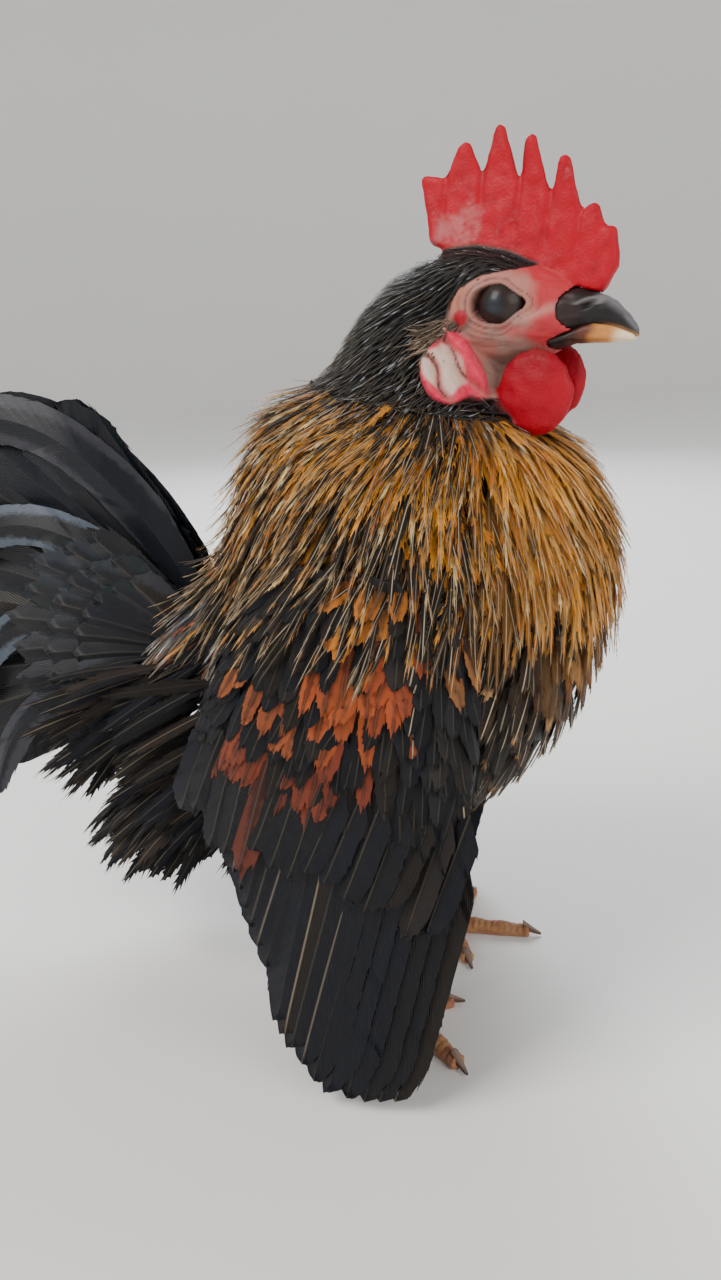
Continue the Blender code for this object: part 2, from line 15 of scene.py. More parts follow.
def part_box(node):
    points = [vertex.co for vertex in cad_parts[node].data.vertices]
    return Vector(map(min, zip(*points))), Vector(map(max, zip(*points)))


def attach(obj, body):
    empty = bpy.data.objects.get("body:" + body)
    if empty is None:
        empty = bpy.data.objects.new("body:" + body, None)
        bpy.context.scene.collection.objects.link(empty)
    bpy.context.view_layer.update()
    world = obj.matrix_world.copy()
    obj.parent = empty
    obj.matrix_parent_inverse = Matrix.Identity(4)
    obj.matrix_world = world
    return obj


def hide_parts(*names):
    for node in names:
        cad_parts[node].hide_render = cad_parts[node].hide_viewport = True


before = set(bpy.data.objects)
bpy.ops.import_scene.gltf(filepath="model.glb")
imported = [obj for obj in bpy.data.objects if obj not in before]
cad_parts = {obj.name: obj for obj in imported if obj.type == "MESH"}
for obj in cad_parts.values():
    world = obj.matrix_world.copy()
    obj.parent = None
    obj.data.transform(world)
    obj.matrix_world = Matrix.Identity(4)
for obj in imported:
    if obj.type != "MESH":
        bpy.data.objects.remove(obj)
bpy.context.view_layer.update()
MM = 0.001
SIDES = ("left", "right")

# Studio and camera.
# The camera stands a quarter of a metre off the bird's right side, level with its head, and looks a
# little down on it. The pale floor bends up into a plain backdrop all round, under wide soft lamps.
CAMERA_PLACE = (135.23, -243.1, 174.5)
CAMERA_TURN = Euler((math.radians(90 - 16.2), 0, math.radians(20)))
CAMERA_ROLL = math.radians(-2.5)
CAMERA_LENS = 28.125
FLOOR_RADIUS = 1.5
FLOOR_BEND = 0.8
FLOOR_RIM = 2.2
FLOOR_STEPS = (14, 96)
# Each lamp: its place in metres, its size in metres, its power in watts and its colour.
LAMPS = {
    "key": ((-0.55, -0.75, 1.05), 0.7, 17, (1.0, 0.97, 0.93)),
    "front": ((0.95, -0.55, 0.55), 0.8, 7, (1.0, 0.96, 0.92)),
    "back": ((-0.25, 0.95, 0.95), 0.7, 16, (0.93, 0.96, 1.0)),
}
SKY_LIGHT = 0.42


def put_in_scene(name, data):
    thing = bpy.data.objects.new(name, data)
    bpy.context.scene.collection.objects.link(thing)
    return thing


camera = put_in_scene("camera", bpy.data.cameras.new("camera"))
camera.data.sensor_width = 36
camera.data.lens = CAMERA_LENS
camera.data.clip_start = 0.01
turned = CAMERA_TURN.to_matrix() @ Matrix.Rotation(CAMERA_ROLL, 3, "Z")
camera.matrix_world = Matrix.Translation(Vector(CAMERA_PLACE) * MM) @ turned.to_4x4()
bpy.context.scene.camera = camera
for lamp_name, (lamp_place, lamp_size, power, lamp_color) in LAMPS.items():
    lamp = put_in_scene(lamp_name + "_lamp", bpy.data.lights.new(lamp_name, "AREA"))
    lamp.data.size = lamp_size
    lamp.data.energy = power
    lamp.data.color = lamp_color
    lamp.location = lamp_place
    lamp.rotation_euler = (Vector((0, 0, 0.1)) - lamp.location).to_track_quat("-Z", "Y").to_euler()
sky = bpy.data.worlds.new("studio")
sky.use_nodes = True
sky.node_tree.nodes["Background"].inputs["Color"].default_value = (0.93, 0.96, 1.0, 1)
sky.node_tree.nodes["Background"].inputs["Strength"].default_value = SKY_LIGHT
bpy.context.scene.world = sky


class Wire:
    """A node's output, on which arithmetic adds Math nodes, or Vector Math where a side is a vector."""

    def __init__(self, graph, socket):
        self.graph = graph
        self.socket = socket

    def carries_vector(self):
        return self.socket.type in ("VECTOR", "RGBA")

    def math(self, operation, *others):
        sides = (self, *others)
        vector = any(isinstance(s, tuple) or isinstance(s, Wire) and s.carries_vector() for s in sides)
        if vector:
            sides = [(s, s, s) if isinstance(s, (int, float)) else s for s in sides]
        kind = "ShaderNodeVectorMath" if vector else "ShaderNodeMath"
        return self.graph.add(kind, {"operation": operation}, dict(enumerate(sides)))

    def __add__(self, other):
        return self.math("ADD", other)

    def __radd__(self, other):
        return self.math("ADD", other)

    def __mul__(self, other):
        return self.math("MULTIPLY", other)

    def __rmul__(self, other):
        return self.math("MULTIPLY", other)

    def __sub__(self, other):
        return self.math("SUBTRACT", other)

    def __rsub__(self, other):
        return (self * -1).math("ADD", other)

    def __pow__(self, other):
        return self.math("POWER", other)

    def __neg__(self):
        return self * -1

    def limited(self):
        return self.math("MAXIMUM", 0.0).math("MINIMUM", 1.0)


class Graph:
    """A node tree that is written as expressions."""

    def __init__(self, tree):
        self.tree = tree
        tree.nodes.clear()

    def add(self, kind, settings=None, inputs=None, out=0):
        node = self.tree.nodes.new(kind)
        for key, value in (settings or {}).items():
            if key == "stops":
                while len(node.color_ramp.elements) < len(value):
                    node.color_ramp.elements.new(0.5)
                for stop, (place, color) in zip(node.color_ramp.elements, value):
                    stop.position = place
                    stop.color = (*color, 1)
            else:
                setattr(node, key, value)
        for key, value in (inputs or {}).items():
            if isinstance(value, Wire):
                self.tree.links.new(value.socket, node.inputs[key])
            elif value is not None:
                node.inputs[key].default_value = value
        return Wire(self, node.outputs[out]) if len(node.outputs) else node

    def parts(self, wire):
        """The three parts of a vector."""
        split = self.add("ShaderNodeSeparateXYZ", {}, {0: wire}).socket.node
        return [Wire(self, socket) for socket in split.outputs]

    def mixed(self, share, first, second):
        """A colour between two others."""
        first, second = ((*c, 1) if isinstance(c, tuple) else c for c in (first, second))
        return self.add("ShaderNodeMix", {"data_type": "RGBA"}, {0: share, 6: first, 7: second}, 2)

    def noise(self, place, scale, detail=2.0, roughness=0.5):
        values = {"Vector": place, "Scale": scale, "Detail": detail, "Roughness": roughness}
        return self.add("ShaderNodeTexNoise", {}, values)

    def painted(self, name):
        """The colour held by a named colour attribute."""
        return self.add("ShaderNodeAttribute", {"attribute_name": name})

    def bumped(self, height, distance, strength=1.0):
        return self.add("ShaderNodeBump", {}, {"Height": height, "Distance": distance, "Strength": strength})


def finish(name):
    """A new material and its graph, which ends in finish_with."""
    material = bpy.data.materials.new(name)
    material.use_nodes = True
    return material, Graph(material.node_tree)


def finish_with(graph, **values):
    """Closes a material's graph with one Principled shader. An underscore in a socket's name is a space."""
    inputs = {}
    for key, value in values.items():
        solid = isinstance(value, tuple) and key.endswith(("Color", "Tint"))
        inputs[key.replace("_", " ")] = (*value, 1) if solid else value
    shader = graph.add("ShaderNodeBsdfPrincipled", {}, inputs)
    graph.add("ShaderNodeOutputMaterial", {}, {"Surface": shader})


def floor_bowl():
    """The floor, which bends up into a plain backdrop all round the bird."""
    shape = bmesh.new()
    steps, around = FLOOR_STEPS
    profile = [(0.0, 0.0), (FLOOR_RADIUS, 0.0)]
    for step in range(1, steps + 1):
        angle = math.radians(90) * step / steps
        profile.append((FLOOR_RADIUS + FLOOR_BEND * math.sin(angle), FLOOR_BEND * (1 - math.cos(angle))))
    profile.append((FLOOR_RADIUS + FLOOR_BEND, FLOOR_RIM))
    line = [shape.verts.new((out, 0, up)) for out, up in profile]
    edges = [shape.edges.new(pair) for pair in zip(line, line[1:])]
    spun = {"geom": line + edges, "axis": (0, 0, 1), "cent": (0, 0, 0), "angle": 2 * math.pi, "steps": around}
    bmesh.ops.spin(shape, **spun)
    bmesh.ops.remove_doubles(shape, verts=shape.verts, dist=1e-5)
    bmesh.ops.recalc_face_normals(shape, faces=shape.faces)
    if shape.faces[0].normal.z < 0:
        bmesh.ops.reverse_faces(shape, faces=shape.faces)
    mesh = bpy.data.meshes.new("floor")
    shape.to_mesh(mesh)
    shape.free()
    mesh.shade_smooth()
    floor = put_in_scene("floor", mesh)
    material, graph = finish("pale_floor")
    place = graph.add("ShaderNodeTexCoord", out=3)
    tone = graph.noise(place, 6.0, 4.0) * 0.03 + 0.84
    color = graph.add("ShaderNodeCombineColor", {}, {0: tone, 1: tone * 0.99, 2: tone * 0.97})
    finish_with(graph, Base_Color=color, Roughness=0.85)
    floor.data.materials.append(material)


floor_bowl()

# Skin of the head, body and legs.
# One skin covers the flesh: bare and red on comb, face, wattles and earlobes, hidden under the feathers
# on the neck and body, where it is painted near black as the shade deep in the coat, and in horny scutes on
# the shanks and toes. Folds, lids and scutes are modelled in it.
TRUNK_NODES = ("trunk_breast", "trunk_back", "cape", "neck", "saddle", "vent_fluff")
BODY_NODES = TRUNK_NODES + ("thigh_left", "thigh_right")
HEAD_NODES = ("head", "comb", "neck") + tuple(
    part + side for part in ("eye_", "ear_", "earlobe_", "wattle_") for side in SIDES
)
LEG_NODES = tuple(part + side for part in ("shank_", "foot_") for side in SIDES)
HEAD_PIVOT = 71.33
HEAD_TURN = math.radians(-12)
# Height of the skull's top along the head, forward and up.
SKULL_TOP = (
    (-11, -8.5, -3, 6, 14, 22, 28.5, 33.5, 42),
    (187, 191, 194.5, 196.3, 195.4, 192.5, 189.4, 186.2, 184),
)
EYE_PLACE = (18.6, 182.7)
EYE_BALL = (7.7, 5.4, 4.5)
EYE_SLIT = (5.3, 3.75)
EAR_SPOT = (10.0, 180.2)
LOBE_PLACE = (9.6, 168.8)
LOBE_SIZE = (8.6, 6.2)
LOBE_TILT = math.radians(56)
COMB_NOTCHES = (1.5, 10.6, 19.6, 26.8, 33.8)
# The comb is this much thicker at its foot than its solid, and thins by this much for each millimetre up.
COMB_FOOT = 0.28
COMB_THINNING = 0.050
COMB_SWAY = 0.5
COMB_GROOVE = 0.34
FACE_HALF_WIDTH = 11.5
# Each fold of the lids: its distance from the eye's middle and its breadth in sizes of the slit, its height.
LID_FOLDS = ((1.22, 0.13, 0.42), (1.42, 0.055, -0.34), (1.55, 0.12, 0.16))
LOWER_FOLD = (1.74, 0.06, -0.14)
CHEEK_CREASES = (4.4, 7.0)
# Height on the head, and how deep the skin lies under the feathers there.
HIDDEN_DEPTH = ((156, 160, 168, 178, 190), (8.0, 6.0, 2.6, 1.8, 1.2))
COAT_DEPTH = 4.2
WING_COAT_DEPTH = 2.7
FOOT_HUBS = {"left": (63.93, 21.8), "right": (61.73, -22.4)}
SCUTE_PITCH = 1.9

RED = (0.40, 0.0, 0.012)
DEEP_RED = (0.24, 0.0, 0.008)
FACE_PINK = (0.40, 0.165, 0.135)
FACE_GREY = (0.30, 0.175, 0.145)
FACE_RED = (0.44, 0.018, 0.030)
TEMPLE_TAN = (0.42, 0.16, 0.075)
CHEEK_PALE = (0.50, 0.30, 0.25)
LID_RIM = (0.040, 0.020, 0.017)
LID_PINK = (0.34, 0.17, 0.14)
FOLD_SHADE = (0.11, 0.045, 0.038)
EAR_RED = (0.30, 0.006, 0.014)
EAR_SHADE = (0.07, 0.035, 0.025)
WATTLE_SHADE = (0.20, 0.02, 0.02)
LOBE_CREAM = (0.56, 0.44, 0.36)
LOBE_PINK = (0.60, 0.035, 0.075)
LOBE_RED = (0.50, 0.015, 0.045)
LOBE_FOLD_SHADE = (0.42, 0.09, 0.09)
LOBE_CREASE_SHADE = (0.05, 0.02, 0.018)
COMB_SCUFF = (0.46, 0.16, 0.16)
LEG_TAN = (0.40, 0.21, 0.095)
LEG_PINK = (0.46, 0.16, 0.12)
LEG_BROWN = (0.30, 0.13, 0.06)
LEG_DARK = (0.05, 0.03, 0.025)
SCUTE_EDGE = (0.13, 0.045, 0.03)
SOLE_PINK = (0.50, 0.24, 0.17)
UNDER_COAT_SHADE = (0.012, 0.010, 0.010)


def ease(low, high, value):
    """Rises smoothly from 0 at low to 1 at high."""
    t = np.clip((value - low) / (high - low), 0, 1)
    return t * t * (3 - 2 * t)


def bell(value, width):
    return np.exp(-((value / width) ** 2))


def ripple(points, size, seed, waves=14):
    """A smooth random field between about -1 and 1, its bumps about size across."""
    draw = np.random.default_rng(seed)
    turns = draw.normal(size=(waves, 3))
    turns *= (math.pi / size * draw.uniform(0.6, 1.5, waves) / np.linalg.norm(turns, axis=1))[:, None]
    return np.sin(points @ turns.T + draw.uniform(0, 2 * math.pi, waves)).sum(1) / math.sqrt(waves)


def blended(share, first, second):
    """Rows of colours between two, by a share for each row."""
    share = np.asarray(share)[:, None]
    return np.asarray(first) * (1 - share) + np.asarray(second) * share


def points_of(mesh):
    points = np.empty(len(mesh.vertices) * 3)
    mesh.vertices.foreach_get("co", points)
    return points.reshape(-1, 3) / MM


def normals_of(mesh):
    normals = np.empty(len(mesh.vertices) * 3, np.float32)
    mesh.vertex_normals.foreach_get("vector", normals)
    return normals.reshape(-1, 3).astype(float)


def move_points(mesh, points):
    mesh.vertices.foreach_set("co", (points * MM).ravel())
    mesh.update()


def paint(mesh, name, colors):
    layer = mesh.color_attributes.new(name, "FLOAT_COLOR", "POINT")
    layer.data.foreach_set("color", np.c_[colors, np.ones(len(colors))].ravel())


def gathered(nodes, swell=0.0):
    """One mesh of the named solids, their loose triangles merged and the whole swollen a little."""
    shape = bmesh.new()
    for node in nodes:
        shape.from_mesh(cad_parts[node].data)
    bmesh.ops.remove_doubles(shape, verts=shape.verts, dist=1e-6)
    shape.normal_update()
    for vertex in shape.verts:
        vertex.co += vertex.normal * swell * MM
    mesh = bpy.data.meshes.new("gathered")
    shape.to_mesh(mesh)
    shape.free()
    return mesh


def settled(thing):
    """The plain mesh of an object with its modifiers taken in, and the object gone."""
    mesh = bpy.data.meshes.new_from_object(thing.evaluated_get(bpy.context.evaluated_depsgraph_get()))
    bpy.data.objects.remove(thing)
    return mesh


def fused(nodes, swell, voxel, rounds):
    """A closed skin over the named solids: they swell until they meet, and are then remeshed and smoothed."""
    thing = put_in_scene("fused", gathered(nodes, swell))
    remesh = thing.modifiers.new("one_skin", "REMESH")
    remesh.mode = "VOXEL"
    remesh.voxel_size = voxel * MM
    soften = thing.modifiers.new("soften", "SMOOTH")
    soften.factor = 0.5
    soften.iterations = rounds
    return settled(thing)


def to_head(points):
    """Bird frame to head frame."""
    x, y = points[:, 0] - HEAD_PIVOT, points[:, 1]
    c, s = math.cos(HEAD_TURN), math.sin(HEAD_TURN)
    return np.c_[c * x + s * y, c * y - s * x, points[:, 2]]


def from_head(points):
    """Head frame to bird frame."""
    f, w = points[:, 0], points[:, 1]
    c, s = math.cos(HEAD_TURN), math.sin(HEAD_TURN)
    return np.c_[c * f - s * w + HEAD_PIVOT, s * f + c * w, points[:, 2]]


def to_head_way(ways):
    """Directions in the head frame, which turns but doesn't move them."""
    return to_head(ways + np.array([HEAD_PIVOT, 0, 0]))


def from_head_way(ways):
    return from_head(ways) - np.array([HEAD_PIVOT, 0, 0])


def closeness(points, nodes, reach):
    """1 on the surface of the named solids, falling to 0 at reach from them."""
    tree = surface_of(gathered(nodes))
    return ease(reach, 0.35, np.array([tree.find_nearest(Vector(p))[3] for p in points]))


def eye_ring(head):
    """Distance from the eye's middle, counted in sizes of its almond slit."""
    u, w = head[:, 0] - EYE_PLACE[0], head[:, 2] - EYE_PLACE[1]
    height = EYE_SLIT[1] * (1 - 0.42 * ease(0.5, 6, u)) * (1 + 0.04 * (w > 0))
    return np.hypot(u / EYE_SLIT[0], w / height)


def lobe_parts(head):
    """Place along and across the earlobe, and how far out from its middle, counted in its own size."""
    u, w = head[:, 0] - LOBE_PLACE[0], head[:, 2] - LOBE_PLACE[1]
    along = u * math.cos(LOBE_TILT) - w * math.sin(LOBE_TILT)
    across = u * math.sin(LOBE_TILT) + w * math.cos(LOBE_TILT)
    return along, across, np.hypot(along / LOBE_SIZE[0], across / LOBE_SIZE[1])


def bare_edge(z):
    """How far forward the feathers reach on the head's side at each height."""
    heights = (153, 158, 161, 163.5, 166, 168, 171, 177, 184, 186.5, 189, 190.6, 196)
    edges = (40, 32, 24, 14, 8.6, 6.4, 6.0, 6.2, 7.6, 9.6, 14.5, 25, 27)
    return np.interp(z, heights, edges)


def head_parts(mesh):
    """Head places of the points, and how far each belongs to the comb, the wattles and the earlobes."""
    points = points_of(mesh)
    pairs = ((part + "left", part + "right") for part in ("wattle_", "earlobe_"))
    comb = closeness(points, ("comb",), 1.1)
    wattle, lobe = (closeness(points, pair, reach) for pair, reach in zip(pairs, (1.5, 2.3)))
    head = to_head(points)
    along, across, _ = lobe_parts(head)
    behind = ease(1.12, 0.92, np.hypot(along / 7.4, (across + 0.6) / 4.6)) * (np.abs(head[:, 1]) > 6)
    return head, comb, wattle * (1 - comb), np.maximum(lobe, behind) * (1 - wattle)


def lobe_wave(head, along, across):
    """The phase of the earlobe's long folds."""
    return across * 1.55 + 0.5 * np.sin(along * 0.5) + 0.45 * ripple(head, 4, 11)


def smoothed(mesh, points, share, rounds):
    """Points drawn towards the middle of their neighbours, each by its own share."""
    edges = np.empty(len(mesh.edges) * 2, int)
    mesh.edges.foreach_get("vertices", edges)
    count = np.bincount(edges, minlength=len(points))[:, None]
    start, end = edges.reshape(-1, 2).T
    for _ in range(rounds):
        total = np.zeros_like(points)
        np.add.at(total, start, points[end])
        np.add.at(total, end, points[start])
        points = points + share[:, None] * (total / count - points)
    return points


def sculpt_head(mesh, parts):
    """Thins the comb to its points and models lids, folds, earlobe wrinkles and the sockets of the eyes."""
    head, comb, wattle, lobe = parts
    head = head.copy()
    normal = to_head_way(normals_of(mesh))
    above = head[:, 2] - np.interp(head[:, 0], *SKULL_TOP)
    head[:, 1] *= 1 + comb * (COMB_FOOT - COMB_THINNING * np.clip(above, 0, 15))
    head[:, 1] += comb * COMB_SWAY * np.sin(head[:, 0] / 7) * np.clip(above / 20, 0, 1)
    for notch in COMB_NOTCHES:
        lean = notch + (above - 14) * 0.1
        groove = bell(head[:, 0] - lean, 0.7) * ease(1, 6, above)
        head[:, 1] -= comb * np.sign(head[:, 1]) * COMB_GROOVE * groove
    push = comb * 0.10 * ripple(head, 2.2, 3)
    width = np.abs(head[:, 1])
    ring = eye_ring(head)
    at_eye = (width > 5) & (ring < 3) & (head[:, 2] > 172)
    out, radius, depth = EYE_BALL
    off = np.hypot(head[:, 0] - EYE_PLACE[0], head[:, 2] - EYE_PLACE[1])
    ball = out + depth * np.sqrt(np.clip(1 - (off / radius) ** 2, 0, 1))
    lid = np.minimum(width, FACE_HALF_WIDTH)
    for place, breadth, height in LID_FOLDS:
        lid = lid + height * bell(ring - place, breadth)
    place, breadth, height = LOWER_FOLD
    lid += height * bell(ring - place, breadth) * (head[:, 2] < EYE_PLACE[1] + 2)
    lid += 0.1 * ripple(head, 1.6, 5) * bell(ring - 1.5, 0.4)
    inside = np.where(ring < 1, ball - 1.2, ball - 0.1)
    lid = blended(ease(1.0, 1.2, ring), inside[:, None], lid[:, None])[:, 0]
    width = np.where(at_eye & (ring < 2.4), lid, width)
    plain = (1 - comb) * (1 - lobe) * (1 - wattle)
    face_share = plain * ease(7, 9, head[:, 0]) * (head[:, 2] > 168) * (ring > 2)
    spot = np.hypot(head[:, 0] - EAR_SPOT[0], head[:, 2] - EAR_SPOT[1])
    push += 0.55 * bell(spot, 1.5) * (width > 6)
    push += face_share * (0.14 * ripple(head, 2.4, 8) - 0.24 * bell(ripple(head, 4.5, 9), 0.14))
    for drop in CHEEK_CREASES:
        line = EYE_PLACE[1] - drop - 0.06 * (head[:, 0] - 16) ** 2 / drop
        crease = head[:, 2] - line + 0.4 * ripple(head, 3, 10)
        push -= face_share * 0.16 * bell(crease, 0.35) * (width > 5)
    along, across, reach = lobe_parts(head)
    wave = lobe_wave(head, along, across)
    behind = ease(1.05, 0.8, np.hypot(along / 7.4, (across + 0.8) / 4.4))
    push += lobe * 0.8 * behind * ease(1, -2, across)
    folded = lobe * np.maximum(ease(1.15, 0.85, reach), behind)
    push += folded * (0.42 * np.cos(wave) - 0.5 * bell(np.cos(wave) + 1, 0.12) + 0.1 * ripple(head, 1.2, 12))
    push += wattle * 0.09 * ripple(head, 2.6, 14)
    pleat = bell(np.sin(head[:, 0] * 0.9 + 0.6 + 0.3 * ripple(head, 5, 16)), 0.2)
    push -= wattle * 0.14 * pleat * ease(164, 172, head[:, 2])
    plumed = plain * ease(0.6, -1.4, head[:, 0] - bare_edge(head[:, 2]))
    sunk = plumed * np.interp(head[:, 2], *HIDDEN_DEPTH)
    side = np.where(head[:, 1] < 0, -1.0, 1.0)
    head[:, 1] = side * width
    head += normal * push[:, None]
    head -= normal * sunk[:, None] * (1, 1, 0.25)
    move_points(mesh, from_head(smoothed(mesh, head, plumed * 0.5, 14)))


def head_paint(parts):
    """Colours of the bare skin, and skin painted near black as shade where feathers grow."""
    head, comb, wattle, lobe = parts
    f, width, z = head[:, 0], np.abs(head[:, 1]), head[:, 2]
    blotch = ripple(head, 3.0, 21)
    fine = ripple(head, 0.9, 22)
    ring = eye_ring(head)
    color = blended(ease(-0.6, 0.9, blotch + (177 - z) * 0.16), FACE_PINK, FACE_GREY)
    color = blended(ease(14, 8, f + blotch) * ease(180, 184, z) * 0.6, color, TEMPLE_TAN)
    red = ease(24, 28.5, f + 0.5 * blotch) * ease(170, 174, z) + ease(187, 191, z + blotch) * ease(20, 24, f)
    red += 0.6 * bell(z - 176.5 + 0.35 * (f - 24), 1.5) * ease(17, 22, f)
    color = blended(np.clip(red, 0, 0.92), color, FACE_RED)
    streak = bell(z - 178 - 0.35 * (f - 20) - 0.3 * blotch, 1.0) * ease(19, 23, f)
    color = blended(streak * 0.5, color, CHEEK_PALE)
    beside = width > 5
    color = blended(bell(ring - 1.06, 0.10) * beside, color, LID_RIM)
    # The grooves of the lid folds are painted brown, as painted shade.
    fold_shade = bell(ring - 1.42, 0.05) + 0.6 * bell(ring - 1.74, 0.05) * (z < EYE_PLACE[1] + 2)
    color = blended(np.clip(fold_shade, 0, 1) * 0.7 * beside, color, FOLD_SHADE)
    color = blended(bell(ring - 1.25, 0.08) * 0.45 * beside, color, LID_PINK)
    spot = np.hypot(f - EAR_SPOT[0], z - EAR_SPOT[1])
    color = blended(ease(2.3, 1.3, spot) * beside, color, EAR_RED)
    # Painted shade: the skin just below the raised ear spot is painted dark brown.
    under = ease(3.2, 2.0, spot) * (1 - ease(2.3, 1.3, spot)) * (z < EAR_SPOT[1]) * beside
    color = blended(under * 0.7, color, EAR_SHADE)
    # The wattle is painted darker towards its top, where it hangs under the face, as painted shade.
    tone = blended(0.35 + ease(-1, 1, blotch) * 0.15 + ease(164, 171, z) * 0.5, RED, DEEP_RED)
    tone = blended(ease(171, 174, z + blotch) * 0.6, tone, WATTLE_SHADE)
    color = blended(wattle, color, tone)
    along, across, reach = lobe_parts(head)
    offset = np.hypot((along + 1.4) / (LOBE_SIZE[0] * 0.72), (across + 0.7) / (LOBE_SIZE[1] * 0.62))
    white = ease(1.05, 0.85, offset + 0.12 * blotch)
    wave = lobe_wave(head, along, across)
    lobe_tone = blended(ease(-0.5, 1, fine) * 0.6, LOBE_PINK, LOBE_RED)
    lobe_tone = blended(white * 0.92, lobe_tone, LOBE_CREAM)
    # The troughs of the earlobe's folds are painted darker pink, and the deepest creases in the white near
    # black, as painted shade.
    lobe_tone = blended(bell(np.cos(wave) + 1, 0.45) * 0.85, lobe_tone, LOBE_FOLD_SHADE)
    lobe_tone = blended(bell(np.cos(wave) + 1, 0.05) * white * 0.9, lobe_tone, LOBE_CREASE_SHADE)
    color = blended(lobe, color, lobe_tone)
    above = z - np.interp(f, *SKULL_TOP)
    scuff = ease(0.25, 0.95, bell(f - 5, 6.5) * bell(above - 4.5, 5) + 0.22 * blotch + 0.12 * fine)
    comb_tone = blended(ease(-0.5, 2, blotch) * 0.4, RED, DEEP_RED)
    comb_tone = blended(scuff * 0.6, comb_tone, COMB_SCUFF)
    color = blended(comb, color, comb_tone)
    bare = 1 - np.clip(comb + wattle + lobe, 0, 1)
    feathered = bare * ease(0.8, -0.8, f - bare_edge(z))
    return blended(feathered, color, UNDER_COAT_SHADE)


def sculpt_leg(mesh):
    """Cuts the scutes' edges into toes and shanks, and returns the colours that go with them."""
    points = points_of(mesh)
    normal = normals_of(mesh)
    push = np.zeros(len(points))
    shade = np.zeros(len(points))
    pad = np.zeros(len(points))
    for side, (hub_x, hub_y) in FOOT_HUBS.items():
        mine = points[:, 1] * hub_y > 0
        flat = points[:, :2] - (hub_x, hub_y)
        distance = np.hypot(flat[:, 0], flat[:, 1])
        nearest = np.full(len(points), 1e3)
        place = np.zeros(len(points))
        for toe in ("middle", "inner", "outer", "hind"):
            low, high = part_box(f"claw_{toe}_{side}")
            run = np.array([(low.x + high.x) / 2, (low.y + high.y) / 2]) / MM - (hub_x, hub_y)
            run /= np.linalg.norm(run)
            off = np.abs(flat[:, 0] * run[1] - flat[:, 1] * run[0]) + 50 * (flat @ run < 0)
            nearer = mine & (off < nearest)
            nearest = np.where(nearer, off, nearest)
            place = np.where(nearer, flat @ run, place)
        on_toe = mine & (points[:, 2] < 7.5)
        rung = np.where(on_toe & (distance > 3.5), place, points[:, 2])
        saw = np.mod(rung / SCUTE_PITCH, 1.0)
        groove = bell(np.minimum(saw, 1 - saw), 0.13) * mine
        top = np.where(on_toe, ease(-0.15, 0.35, normal[:, 2]), ease(-0.2, 0.3, normal[:, 0]))
        push += mine * top * (0.12 * (1 - saw) - 0.24 * groove)
        shade += groove * top
        pad += mine * on_toe * ease(-0.1, -0.6, normal[:, 2])
    small = bell(ripple(points, 1.1, 33), 0.25) * (1 - np.clip(shade, 0, 1))
    push -= 0.08 * small
    moved = points + normal * push[:, None]
    moved[:, 2] = np.maximum(moved[:, 2], 0.02)
    move_points(mesh, moved)
    tone = blended(ease(-1, 1, ripple(points, 3.5, 31)), LEG_TAN, LEG_BROWN)
    tone = blended(ease(0.2, 1.3, ripple(points, 5, 34)) * 0.6, tone, LEG_PINK)
    tone = blended(np.clip(shade * 0.7 + small * 0.35, 0, 1), tone, SCUTE_EDGE)
    tone = blended(np.clip(pad, 0, 1) * 0.7, tone, SOLE_PINK)
    return blended(ease(26, 36, points[:, 2]) * 0.8, tone, LEG_DARK)


def skin_finish():
    material, graph = finish("bird_skin")
    place = graph.add("ShaderNodeTexCoord", out=3)
    color = graph.painted("tone")
    grain = graph.noise(place, 900.0, 3.0, 0.6)
    mottle = graph.noise(place, 240.0, 3.0, 0.6)
    pebbles = graph.add("ShaderNodeTexVoronoi", {"feature": "F1"}, {"Vector": place, "Scale": 1500.0})
    shaded = graph.mixed(((mottle - 0.42) * 0.8).limited(), color, color * (0.74, 0.66, 0.66))
    height = grain * 0.5 + (1 - pebbles) * 0.5
    normal = graph.bumped(height, 0.00022, 0.55)
    finish_with(
        graph,
        Base_Color=shaded,
        Roughness=(0.36 + 0.3 * mottle).limited(),
        Normal=normal,
        Subsurface_Weight=0.06,
        Subsurface_Radius=(1.0, 0.25, 0.15),
        Subsurface_Scale=0.0012,
        Specular_IOR_Level=0.22,
    )
    return material


def join_meshes(name, meshes, material):
    """One object of several meshes, with the colours they were painted with."""
    shape = bmesh.new()
    for mesh in meshes:
        shape.from_mesh(mesh)
    whole = bpy.data.meshes.new(name)
    shape.to_mesh(whole)
    shape.free()
    whole.materials.clear()
    whole.materials.append(material)
    whole.shade_smooth()
    return put_in_scene(name, whole)


def surface_of(mesh):
    """A search tree of a mesh, in millimetres."""
    faces = [tuple(face.vertices) for face in mesh.polygons]
    return BVHTree.FromPolygons([tuple(point) for point in points_of(mesh)], faces)


body_form = fused(BODY_NODES, 0.45, 2.2, 12)
body_surface = surface_of(body_form)
body_skin = body_form.copy()
move_points(body_skin, points_of(body_skin) - normals_of(body_skin) * COAT_DEPTH)
inset = points_of(body_skin)
move_points(body_skin, smoothed(body_skin, inset, 0.5 * ease(150, 160, inset[:, 2]), 40))
